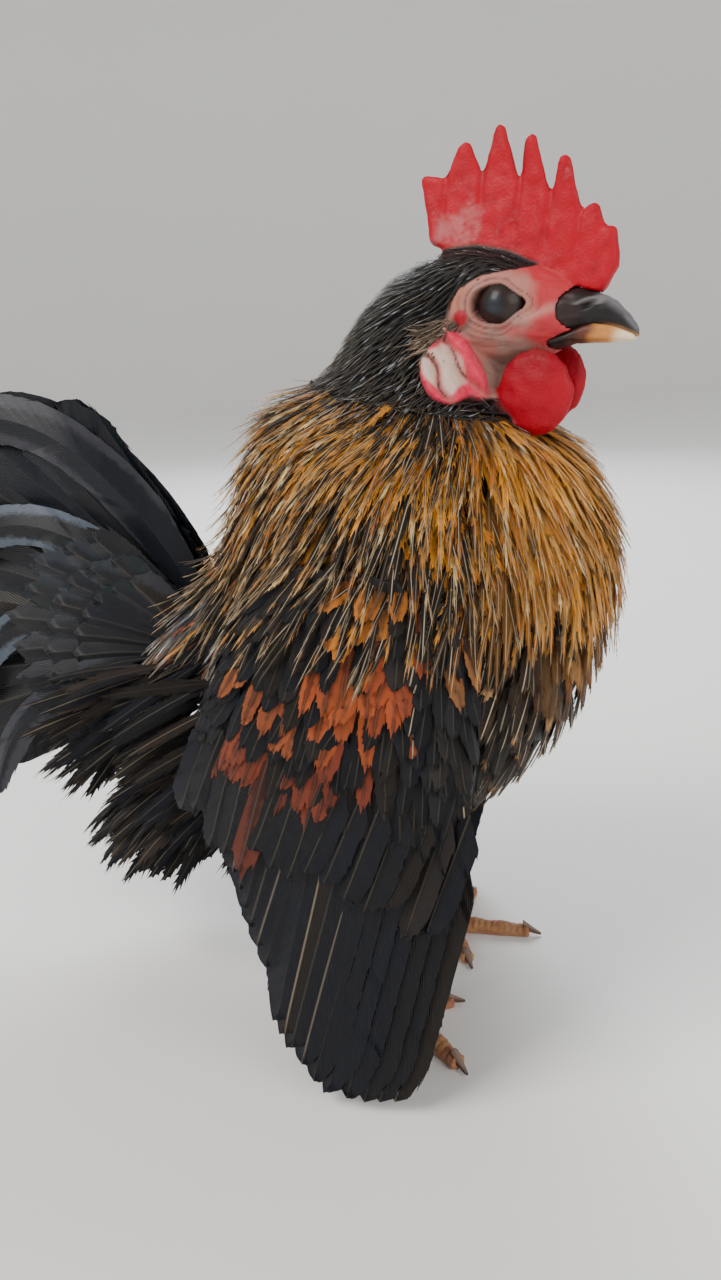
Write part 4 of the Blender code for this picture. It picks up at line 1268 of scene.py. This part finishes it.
def add_trunk_coat():
    draw = np.random.default_rng(301)
    tree = body_surface
    s, turn, roots, normals, lies, places = trunk_roots(tree, NECK_SPAN, 0.2, 1.8, behind_face, draw)
    sizes = drawn(draw, len(s), length=(7, 10.5), wide=(0.9, 1.3), depth=(2.4, 3.2), lift=(-0.2, 0.7))
    look = neck_look(s, turn, draw)
    kind = (hackle_feathers, black_plumage)
    nodes = ("neck",)
    dress("neck_feathers", roots, normals, lies, sizes, look, tree, places, kind, nodes)

    draw = np.random.default_rng(302)
    tree = outer_surface
    s, turn, roots, normals, lies, places = trunk_roots(tree, HACKLE_SPAN, 0.2, 2.5, above_breast, draw)
    sizes = drawn(draw, len(s), length=(18, 27), wide=(1.8, 2.7), depth=(3.4, 4.6), lift=(-0.3, 1.5))
    sizes["length"] *= np.interp(s, (4.5, 8), (1.05, 0.85))
    sizes["lift"] += 6 * ease(2.1, 2.9, np.abs(turn)) * draw.random(len(s)) ** 3
    look = hackle_look(s, turn, draw)
    kind = (hackle_feathers, gold_plumage)
    nodes = ("cape",)
    dress("hackle", roots, normals, lies, sizes, look, tree, places, kind, nodes)

    draw = np.random.default_rng(303)
    tree = body_surface
    s, turn, roots, normals, lies, places = trunk_roots(tree, BREAST_SPAN, 0.2, 3.4, on_breast, draw)
    sizes = drawn(draw, len(s), length=(11, 16), wide=(2.8, 4.0), depth=(3.4, 4.6), lift=(-0.4, 0.8))
    sizes["length"] *= np.interp(roots[:, 2], (55, 100, 140), (1.1, 1.0, 0.85))
    look = breast_look(roots, turn, draw)
    kind = (soft_feathers, gold_plumage)
    nodes = ("trunk_breast", "trunk_back")
    dress("breast_feathers", roots, normals, lies, sizes, look, tree, places, kind, nodes)


add_trunk_coat()

# Feathers of the crown and the ear tufts.
# Short glossy feathers cover the crown down to the brow and the nape. A tuft of pale bristles fills each ear.
CROWN_SPACING = 1.25
EAR_SPACING = 0.5
EAR_BROWNS = ((0.13, 0.085, 0.06), (0.05, 0.032, 0.024), (0.34, 0.25, 0.18))
CROWN_NODES = ("head", "neck", "ear_left", "ear_right")
EAR_TUFT = (7.6, 177.0)
EAR_TUFT_SIZE = (4.2, 3.4)


NEIGHBOURS = [(a, b, c) for a in (-1, 0, 1) for b in (-1, 0, 1) for c in (-1, 0, 1)]


def sown(form, keep, spacing, draw):
    """Roots over a closed form's points, no two closer than spacing, with their normals."""
    points, normals = points_of(form), normals_of(form)
    picks = np.flatnonzero(keep(points, normals))
    draw.shuffle(picks)
    cells, taken = {}, []
    for pick in picks:
        cell = tuple((points[pick] // spacing).astype(int))
        around = [tuple(np.add(cell, step)) for step in NEIGHBOURS]
        near = [other for key in around for other in cells.get(key, ())]
        if all(((points[pick] - points[other]) ** 2).sum() > spacing**2 for other in near):
            cells.setdefault(cell, []).append(pick)
            taken.append(pick)
    return points[taken], normals[taken]


def add_crown():
    draw = np.random.default_rng(311)
    form = fused(CROWN_NODES, 0.32, 0.9, 5)

    def keep(points, normals):
        head = to_head(points)
        above = head[:, 2] - np.interp(head[:, 0], *SKULL_TOP)
        comb = (np.abs(head[:, 1]) < 2.2) & (head[:, 0] > -4) & (above > -2.5)
        return (head[:, 0] < bare_edge(head[:, 2]) - 0.3) & (head[:, 2] > 155) & ~comb

    roots, normals = sown(form, keep, CROWN_SPACING, draw)
    head = to_head(roots)
    back = ease(12, 30, head[:, 0])
    lies = np.c_[-np.ones(len(roots)), np.zeros(len(roots)), -1.1 + 1.1 * back]
    lies = lies + 0.12 * draw.normal(size=roots.shape)
    lies = from_head_way(lies)
    sizes = drawn(draw, len(roots), length=(5.5, 8), wide=(0.75, 1.1), depth=(1.0, 1.5), lift=(-0.1, 0.5))
    shorter = np.interp(head[:, 0], (0, 14, 26), (1.0, 0.7, 0.45))
    sizes["length"] *= shorter * np.interp(head[:, 2], (162, 176), (1.35, 1.0))
    look = neck_look(np.interp(head[:, 2], (156, 170), (8.3, 11)), np.full(len(roots), 2.5), draw)
    places = np.c_[0.5 + head[:, 0] / 140 * np.sign(head[:, 1]) * 0.9, (roots[:, 2] - 160) / 45]
    kind = (small_feathers, black_plumage)
    dress("crown_feathers", roots, normals, lies, sizes, look, surface_of(form), places, kind)


def add_ear_tufts():
    draw = np.random.default_rng(312)
    form = fused(CROWN_NODES, 0.32, 0.9, 5)

    def keep(points, normals):
        head = to_head(points)
        off = (head[:, (0, 2)] - EAR_TUFT) / EAR_TUFT_SIZE
        return (np.hypot(off[:, 0], off[:, 1]) < 1) & (np.abs(head[:, 1]) > 4)

    roots, normals = sown(form, keep, EAR_SPACING, draw)
    count = len(roots)
    lies = np.tile((-1, 0, -0.75), (count, 1)) + 0.3 * draw.normal(size=roots.shape)
    lies = from_head_way(lies)
    sizes = drawn(draw, count, length=(4.5, 8), wide=(0.5, 0.8), depth=(0.3, 0.6), lift=(0.8, 1.8))
    edge = chosen(draw, count, EAR_BROWNS, (3, 2, 2))
    marks = np.c_[np.full(count, 0.2), draw.uniform(0.6, 1.0, count), draw.random(count)]
    look = {"edge": edge, "middle": edge * 0.5, "tip": edge * 1.8, "marks": marks}
    places = np.c_[0.5 + 0.3 * np.sign(roots[:, 1]), (roots[:, 2] - 160) / 45]
    kind = (small_feathers, black_plumage)
    nodes = ("ear_left", "ear_right")
    tree = surface_of(form)
    dress("ear_tufts", roots, normals, lies, sizes, look, tree, places, kind, nodes)


small_feathers = feather_box("small_feather", hackle_width, 0.30, 0.42, 1.0, 250, 7)
add_crown()
add_ear_tufts()

# Wings.
# Each folded wing hangs with its flight feathers down beside the leg. Rows of soft coverts lie over the
# shoulder, with patches of orange and red-brown among the black, and cover the roots of the stiff quills.
QUILL_LINE = ((84.8, 62.4), (20.3, 80.4))
QUILL_OUT = (52.5, 61)
# The left wing hangs further back than the right one.
LEFT_QUILL_BACK = 16
LEFT_COVERT_BACK = 12
WING_MIDDLE_X = 54.3
WING_WRAP = 8
WING_WRAP_REACH = 35
PRIMARY_TIPS = ((71.3, 3.6), (63.3, 3), (53.3, 4.6), (46.3, 13), (42.3, 20))
SECONDARY_TIPS = ((40.8, 27), (34.8, 39), (31.3, 50), (26.3, 60), (19.3, 71))
# Each patch of colour on the wing: x and z of its middle, its reach and its colour.
WING_PATCHES = (
    (64, 119, 5.0, (0.46, 0.15, 0.022)),
    (70, 124, 4.5, (0.46, 0.15, 0.022)),
    (62, 104, 5.5, (0.30, 0.062, 0.016)),
    (69, 108, 4.5, (0.27, 0.050, 0.014)),
    (36, 88, 6.5, (0.17, 0.034, 0.014)),
    (32, 79, 5.5, (0.12, 0.024, 0.012)),
    (55, 83, 6.0, (0.14, 0.026, 0.012)),
    (46, 101, 3.5, (0.22, 0.055, 0.018)),
    (37, 104, 3.2, (0.30, 0.085, 0.025)),
    (83, 108, 2.5, (0.25, 0.10, 0.03)),
)
GREATER_COVERTS = 15
NAVY_BLACK = (0.0024, 0.0030, 0.0062)
WING_BROWN = (0.015, 0.011, 0.010)
# Each row of flight feathers: its name, its stretch of the quill line, its tips, how many, half a width.
QUILL_ROWS = (
    ("primaries_", (0, 0.49), PRIMARY_TIPS, 10, 6.0),
    ("secondaries_", (0.46, 1), SECONDARY_TIPS, 11, 6.4),
)


def across_y(points, side):
    """Points with their Y turned to one side."""
    return points * (1, 1 if side == "left" else -1, 1)


def wing_look(roots, draw, bright=1.3):
    """Black feathers, with orange and red-brown ones near the middle of each patch."""
    count = len(roots)
    color = chosen(draw, count, (BLACK, NAVY_BLACK, BROWN_BLACK, WING_BROWN), (4, 4, 2, 1))
    for x, z, reach, tone in WING_PATCHES:
        share = bright * bell(np.hypot(roots[:, 0] - 2 - x, (roots[:, 2] - 6 - z) * 0.8), reach)
        share = (draw.random(count) < share) * 1.0
        color = blended(share, color, np.array(tone) * draw.uniform(0.75, 1.25, (count, 1)))
    thread = some(draw, count, 0.05)
    marks = np.c_[draw.uniform(0.1, 0.45, count), draw.uniform(0.85, 1.0, count), 0.05 + 0.55 * thread]
    return {"edge": color, "middle": color * 0.35, "tip": color * 0.8, "marks": marks}


def quill_paths(side, span, tips, count):
    """Curves of a row of flight feathers, front to back, lying on each other like slats."""
    root_line, tips = np.array(QUILL_LINE), np.array(tips, float)
    paths = []
    for number, v in enumerate(np.linspace(0, 1, count)):
        root = root_line[0] + (root_line[1] - root_line[0]) * (span[0] + (span[1] - span[0]) * v)
        tip = np.array([np.interp(v * (len(tips) - 1), range(len(tips)), tips[:, axis]) for axis in (0, 1)])
        samples = []
        for u in (-0.12, 0.28, 0.64, 1.0):
            x, z = root + (tip - root) * u
            drop = (QUILL_LINE[0][1] - z) / QUILL_LINE[0][1]
            out = QUILL_OUT[0] + (QUILL_OUT[1] - QUILL_OUT[0]) * max(0, drop)
            out -= WING_WRAP * ((x - WING_MIDDLE_X) / WING_WRAP_REACH) ** 2
            x -= LEFT_QUILL_BACK * max(0.8, 0.8 + drop * 0.2) * (side == "left")
            samples.append((x, out - 0.6 + 0.14 * number, z))
        paths.append(through(np.array(samples)))
    return np.array([across_y(path, side) for path in paths]).transpose(1, 0, 2)


def through(samples):
    """The four controls of a cubic curve through four points that are evenly spread along it."""
    a, b, c, d = samples
    return np.array((a, (-5 * a + 18 * b - 9 * c + 2 * d) / 6, (2 * a - 9 * b + 18 * c - 5 * d) / 6, d))


def add_wing(side, seed):
    draw = np.random.default_rng(seed)
    way = 1 if side == "left" else -1

    def outside(points, normals):
        line = np.interp(points[:, 0], *zip(*reversed(QUILL_LINE)))
        return (normals[:, 1] * way > -0.35) & (points[:, 2] > line + 3)

    roots, normals = sown(wing_form[side], outside, 3.1, draw)
    back = ease(70, 30, roots[:, 0])
    lies = np.c_[-0.18 - 0.32 * back, np.zeros(len(roots)), -np.ones(len(roots))]
    lies = lies + 0.11 * draw.normal(size=roots.shape)
    sizes = drawn(draw, len(roots), length=(12, 17), wide=(3.0, 4.4), depth=(1.6, 2.2), lift=(-0.1, 1.0))
    sizes["length"] *= np.interp(roots[:, 2], (75, 95, 125), (1.35, 1.1, 0.85))
    places = np.c_[0.25 + 0.25 * way + (roots[:, 0] - 15) / 160, (roots[:, 2] - 55) / 85]
    look = wing_look(roots, draw)
    kind = (bow_feathers, wing_plumage)
    tree = wing_surface[side]
    nodes = ("wing_coverts_" + side,)
    dress("wing_bow_" + side, roots, normals, lies, sizes, look, tree, places, kind, nodes)

    for name, span, tips, count, wide in QUILL_ROWS:
        controls = quill_paths(side, span, tips, count)
        faces = np.tile((-0.22, way, 0.0), (count, 1))
        tone = chosen(draw, count, (NAVY_BLACK, BLACK, BROWN_BLACK), (5, 3, 0.6))
        marks = np.c_[np.full(count, 0.3), np.full(count, 1.2), draw.random(count) ** 3 * 0.3]
        look = {"edge": tone * 1.1, "middle": tone, "tip": tone, "marks": marks}
        row_place = 0.1 + 0.4 * (name == "secondaries_")
        places = np.c_[0.2 + 0.5 * (way > 0) + np.linspace(0, 0.25, count), np.full(count, row_place)]
        kind = (quill_feathers, quill_plumage)
        wides = np.full(count, wide)
        nodes = (name + side,)
        grow(name + side + "_quills", controls, faces, wides, places, look, kind, nodes)

    count = GREATER_COVERTS
    samples = []
    for v in np.linspace(0.02, 0.98, count):
        x, z = np.array(QUILL_LINE[0]) + (np.array(QUILL_LINE[1]) - QUILL_LINE[0]) * v
        x -= LEFT_COVERT_BACK * (side == "left")
        run = draw.uniform(22, 34)
        shares = (0, 0.33, 0.66, 1)
        points = np.array([(x + 4.5 - 9.5 * u - 2 * v * u, 90 * way, z + 13 - run * u) for u in shares])
        path = []
        for point, dip in zip(points, (-1.2, -0.2, 0.7, 1.3)):
            hit = tree.ray_cast(Vector(point), Vector((0, -way, 0)))
            wrap = WING_WRAP * ((point[0] - WING_MIDDLE_X) / WING_WRAP_REACH) ** 2
            y = hit[0].y if hit[0] else way * (QUILL_OUT[0] + 2.8 - wrap)
            path.append((point[0], y + way * dip, point[2]))
        samples.append(through(np.array(path)))
    controls = np.array(samples).transpose(1, 0, 2)
    look = wing_look(controls[2] + (0, 0, 4), draw, 0.8)
    faces = np.tile((-0.18, way, 0.0), (count, 1))
    places = np.c_[0.1 + 0.5 * (way > 0) + np.linspace(0, 0.3, count), np.full(count, 0.8)]
    kind = (covert_feathers, wing_plumage)
    wides = draw.uniform(4.2, 5.4, count)
    grow("greater_coverts_" + side, controls, faces, wides, places, look, kind)


bow_feathers = feather_box("bow_feather", leaf_width, 0.30, 0.8, 0.7, 450, 11)
covert_feathers = feather_box("covert_feather", quill_width, 0.26, 0.86, 0.5, 400, 14)
quill_feathers = feather_box("quill_feather", quill_width, 0.16, 0.93, 0.35, 500, 26)
wing_plumage = plumage_finish("wing_plumage", 0.5, 0.03, (0.8, 0.85, 1.0), 0.04)
quill_plumage = plumage_finish("quill_plumage", 0.45, 0.02, (0.5, 0.62, 1.0), 0.04)
for wing_side, wing_seed in zip(SIDES, (321, 322)):
    add_wing(wing_side, wing_seed)

# Back, saddle, thighs and fluff.
# Long pointed saddle feathers fan out from the rump over the tail's sides. Soft loose down hangs below the
# tail and round the thighs, its lower edge ragged.
FAN_CENTRE = (24, 0, 122)
SADDLE_ORANGE = (0.40, 0.11, 0.03)
SADDLE_BROWN = (0.17, 0.05, 0.03)
SADDLE_GREY = (0.30, 0.25, 0.20)
SHEEN_WHITE = (0.45, 0.44, 0.44)
DOWN_BROWN = (0.020, 0.014, 0.011)


def saddle_look(roots, draw):
    """Orange streaks and painted blue-white sheen high on the rump, red-brown below, then black."""
    count = len(roots)
    high = ease(96, 112, roots[:, 2] + 3 * draw.normal(size=count))
    mid = bell(roots[:, 2] - 98 + 0.35 * (roots[:, 0] - 10), 13)
    color = chosen(draw, count, (BLACK, BROWN_BLACK, NAVY_BLACK), (3, 2, 2))
    share = some(draw, count, 0.6 * mid)
    color = blended(share, color, chosen(draw, count, (RUSSET, SADDLE_ORANGE, SADDLE_BROWN), (3, 3, 3)))
    share = some(draw, count, 0.8 * high)
    # The streak colours mix real gold, orange and grey with a painted blue-grey sheen; the bright feathers'
    # tips are painted white as sheen.
    streaks_and_sheen = chosen(draw, count, (GOLD, SADDLE_ORANGE, SHEEN_BLUE_GREY, SADDLE_GREY), (2, 2, 4, 2))
    color = blended(share, color, streaks_and_sheen)
    bright = some(draw, count, 0.12 + 0.45 * high)
    tip = blended(bright, color, np.array(SHEEN_WHITE) * draw.uniform(0.6, 1.3, (count, 1)))
    stripe = 0.38 + 0.1 * draw.normal(size=count)
    marks = np.c_[stripe, 0.8 + 0.1 * draw.normal(size=count), draw.random(count) ** 2]
    return {"edge": color, "middle": np.tile(NAVY_BLACK, (count, 1)), "tip": tip, "marks": marks}


def fluff_look(roots, draw):
    count = len(roots)
    color = chosen(draw, count, (BLACK, BROWN_BLACK, NAVY_BLACK, DOWN_BROWN), (3, 3, 3, 1))
    marks = np.c_[np.full(count, 0.1), draw.uniform(0.7, 1.0, count), 0.2 * draw.random(count)]
    return {"edge": color, "middle": color * 0.7, "tip": color * 1.5, "marks": marks}


def body_places(roots):
    """Places on an unwrap of the body round an upright line through its middle."""
    turn = np.arctan2(roots[:, 1], roots[:, 0] - 40)
    return np.c_[0.02 + 0.94 * (turn + math.pi) / (2 * math.pi), 0.03 + 0.9 * (roots[:, 2] - 25) / 120]


def add_rear_coat():
    draw = np.random.default_rng(331)

    def on_back(points, normals):
        x, y, z = points.T
        upper = (z > 64 + 0.25 * (x + 20)) & (z < 128) & (normals[:, 2] > -0.6)
        return upper & (x < 54) & ((np.abs(y) < 39) | (x < 30))

    roots, normals = sown(body_form, on_back, 3.0, draw)
    lies = turn_to(roots - np.array(FAN_CENTRE)) * (1, 0.5, 1) + np.array([-0.75, 0, -0.35])
    lies = lies + 0.10 * draw.normal(size=roots.shape)
    sizes = drawn(draw, len(roots), length=(19, 30), wide=(1.6, 2.4), depth=(3.2, 4.4), lift=(-0.2, 1.8))
    kind = (hackle_feathers, saddle_plumage)
    look = saddle_look(roots, draw)
    places = body_places(roots)
    nodes = ("saddle",)
    tree = body_surface
    dress("saddle_feathers", roots, normals, lies, sizes, look, tree, places, kind, nodes)

    draw = np.random.default_rng(332)

    def below(points, normals):
        x, y, z = points.T
        return (z < 70) & (z > 36) & ((x < 62) | (z < 58))

    roots, normals = sown(body_form, below, 3.1, draw)
    rear = ease(40, 0, roots[:, 0])
    lies = np.c_[-0.25 - 0.9 * rear, np.zeros(len(roots)), -np.ones(len(roots))]
    lies = lies + 0.16 * draw.normal(size=roots.shape)
    sizes = drawn(draw, len(roots), length=(11, 17), wide=(2.6, 3.8), depth=(2.6, 4.2), lift=(-0.2, 2.2))
    sizes["length"] *= np.interp(roots[:, 2], (37, 50), (0.6, 1.0))
    room = roots[:, 2] - (27 + 0.6 * np.abs(roots[:, 1])) * (roots[:, 0] < 24)
    sizes["length"] = np.minimum(sizes["length"], np.maximum(room, 5))
    kind = (down_feathers, down_plumage)
    look = fluff_look(roots, draw)
    places = body_places(roots)
    nodes = ("vent_fluff", "thigh_left", "thigh_right")
    dress("fluff", roots, normals, lies, sizes, look, tree, places, kind, nodes)


def add_under_tail():
    """Loose black feathers that stand out back and down under the tail."""
    draw = np.random.default_rng(333)

    def rear(points, normals):
        x, y, z = points.T
        return (x < 24) & (z > 50) & (z < 100) & (normals[:, 0] < 0.25) & (np.abs(y) < 33)

    roots, normals = sown(body_form, rear, 3.2, draw)
    count = len(roots)
    low = ease(95, 45, roots[:, 2])
    lies = np.c_[-np.ones(count), 0.12 * np.sign(roots[:, 1]), -0.35 - 0.75 * low]
    lies = turn_to(lies + 0.13 * draw.normal(size=roots.shape))
    length = np.interp(roots[:, 2], (40, 60, 85), (12, 24, 34)) * draw.uniform(0.8, 1.1, count)
    sag = np.array([0, 0, -1.0])
    steps = ((0, -3.5, 0), (0.33, 0, 0.3), (0.66, 1.0, 1.4), (1, 1.2, 3.2))
    controls = [
        roots + lies * (length * part)[:, None] + normals * out + sag * drop for part, out, drop in steps
    ]
    wide = draw.uniform(3.4, 4.8, count)
    faces = turn_to(normals + np.array([0, 0, 0.3]))
    kind = (soft_feathers, down_plumage)
    look = fluff_look(roots, draw)
    nodes = ("vent_fluff",)
    grow("under_tail", controls, faces, wide, body_places(roots), look, kind, nodes)


saddle_plumage = plumage_finish("saddle_plumage", 0.36, 0.08, (0.8, 0.88, 1.0), 0.12)
down_plumage = plumage_finish("down_plumage", 0.7, 0.05, (0.9, 0.85, 0.8))
down_feathers = feather_box("down_feather", leaf_width, 0.30, 0.3, 1.7, 600, 9)
add_rear_coat()
add_under_tail()

# Tail.
# A steep roof of stiff main feathers, with curved coverts over their roots and, outside them, long curved
# sickles that arch over the tail. All are black, with a blue-grey and green sheen painted on their edges.
TAIL_ROOT = (6.3, 97)
TAIL_ANGLES = (58, -25)
TAIL_REACH = (82, 98, 106, 104, 94)
TAIL_OUT = (2.3, 13)
COVERT_ANGLES = (50, -25)
COVERT_REACH = (46, 56, 60, 58, 50)
COVERT_OUT = (18.5, 27)
MAIN_TAIL = 11
MAIN_TAIL_HALF_WIDTH = 10
COVERTS_IN_ROW = 9
# Each covert row: its length as a share of the longest row's, and how much further out it lies.
COVERT_ROWS = ((1.0, 0.0), (0.8, 1.0), (0.62, 2.0))
TAIL_PAINTED_SHEENS = (SHEEN_BLUE_GREY, (0.03, 0.11, 0.09), (0.08, 0.08, 0.095))
# Each curved feather: its four curve controls in x and z, how far out its ends lie, and half its width.
SICKLES = {
    "sickle_main": (((6.3, 101), (-18.7, 156), (-76.7, 199), (-116.7, 106)), (5.6, 8.6), 7.4),
    "sickle_second": (((3.3, 97), (-30.7, 138), (-74.7, 150), (-98.7, 86)), (8.2, 12.8), 6.2),
    "sickle_third": (((3.3, 91), (-32.7, 112), (-66.7, 114), (-82.7, 62)), (11.4, 15.2), 5.6),
    "tail_hanger": (((3.3, 86), (-28.7, 92), (-56.7, 84), (-64.7, 50)), (14.8, 19.5), 5.0),
}


def fan_paths(side, angles, inner, reaches, out, count, short, droop, draw):
    """Curves of a fan of feathers from the tail's root, top to bottom."""
    paths = []
    for v in np.linspace(0.02, 0.98, count):
        reach = np.interp(v * (len(reaches) - 1), range(len(reaches)), reaches)
        reach = reach * short * draw.uniform(0.95, 1.0)
        angle = math.radians(angles[0] + (angles[1] - angles[0]) * v)
        samples = []
        for u in (0, 1 / 3, 2 / 3, 1):
            distance = inner + (reach - inner) * u
            bent = angle - math.radians(droop) * u * u
            x = TAIL_ROOT[0] - distance * math.cos(bent)
            z = TAIL_ROOT[1] + distance * math.sin(bent)
            samples.append((x, out[0] + (out[1] - out[0]) * v * u, z))
        paths.append(through(np.array(samples)))
    return np.array([across_y(path, side) for path in paths]).transpose(1, 0, 2)


def tail_look(count, draw, sheen):
    tone = chosen(draw, count, (BLACK, NAVY_BLACK, BROWN_BLACK), (3, 3, 0.3))
    gloss = chosen(draw, count, TAIL_PAINTED_SHEENS, (3, 1, 4))
    marks = np.c_[np.full(count, 0.75), np.full(count, 1.3), 0.04 * draw.random(count)]
    # The edge colour is drawn towards one of the painted sheen colours, by the given share.
    return {"edge": blended(np.full(count, sheen), tone, gloss), "middle": tone, "tip": tone, "marks": marks}


def add_tail(side, seed):
    draw = np.random.default_rng(seed)
    way = 1 if side == "left" else -1

    def add(name, controls, wide, sheen, kind, nodes):
        count = controls.shape[1]
        faces = np.tile((0.05, way, 0.16), (count, 1))
        places = np.c_[0.15 + 0.5 * (way > 0) + np.linspace(0, 0.3, count), np.full(count, 0.5)]
        look = tail_look(count, draw, sheen)
        grow(name + side, controls, faces, wide, places, look, kind, nodes)

    kind = (quill_feathers, tail_plumage)
    controls = fan_paths(side, TAIL_ANGLES, 8, TAIL_REACH, TAIL_OUT, MAIN_TAIL, 1.0, 1, draw)
    wides = np.full(MAIN_TAIL, MAIN_TAIL_HALF_WIDTH)
    add("main_tail_", controls, wides, 0.03, kind, ("tail_feathers_" + side,))
    rows = []
    for short, further in COVERT_ROWS:
        out = (COVERT_OUT[0] - 6 + further, COVERT_OUT[1] - 2 + further)
        rows.append(fan_paths(side, COVERT_ANGLES, 4, COVERT_REACH, out, COVERTS_IN_ROW, short, 4, draw))
    controls = np.concatenate(rows, 1)
    kind = (covert_feathers, tail_plumage)
    wides = draw.uniform(6.2, 7.8, controls.shape[1])
    add("tail_covert_rows_", controls, wides, 0.06, kind, ("tail_coverts_" + side,))
    paths, wides, nodes = [], [], []
    for name, (points, out, half) in SICKLES.items():
        path = [(x, out[0] + (out[1] - out[0]) * k / 3, z) for k, (x, z) in enumerate(points)]
        paths.append(across_y(np.array(path), side))
        wides.append(half)
        nodes.append(f"{name}_{side}")
    kind = (sickle_feathers, tail_plumage)
    add("sickles_", np.array(paths).transpose(1, 0, 2), np.array(wides), 0.3, kind, nodes)


sickle_feathers = feather_box("sickle_feather", quill_width, 0.10, 0.95, 0.25, 700, 34, 3, 0.35)
tail_plumage = plumage_finish("tail_plumage", 0.33, 0.06, (0.6, 0.75, 1.0), 0.12)
for tail_side, tail_seed in zip(SIDES, (341, 342)):
    add_tail(tail_side, tail_seed)
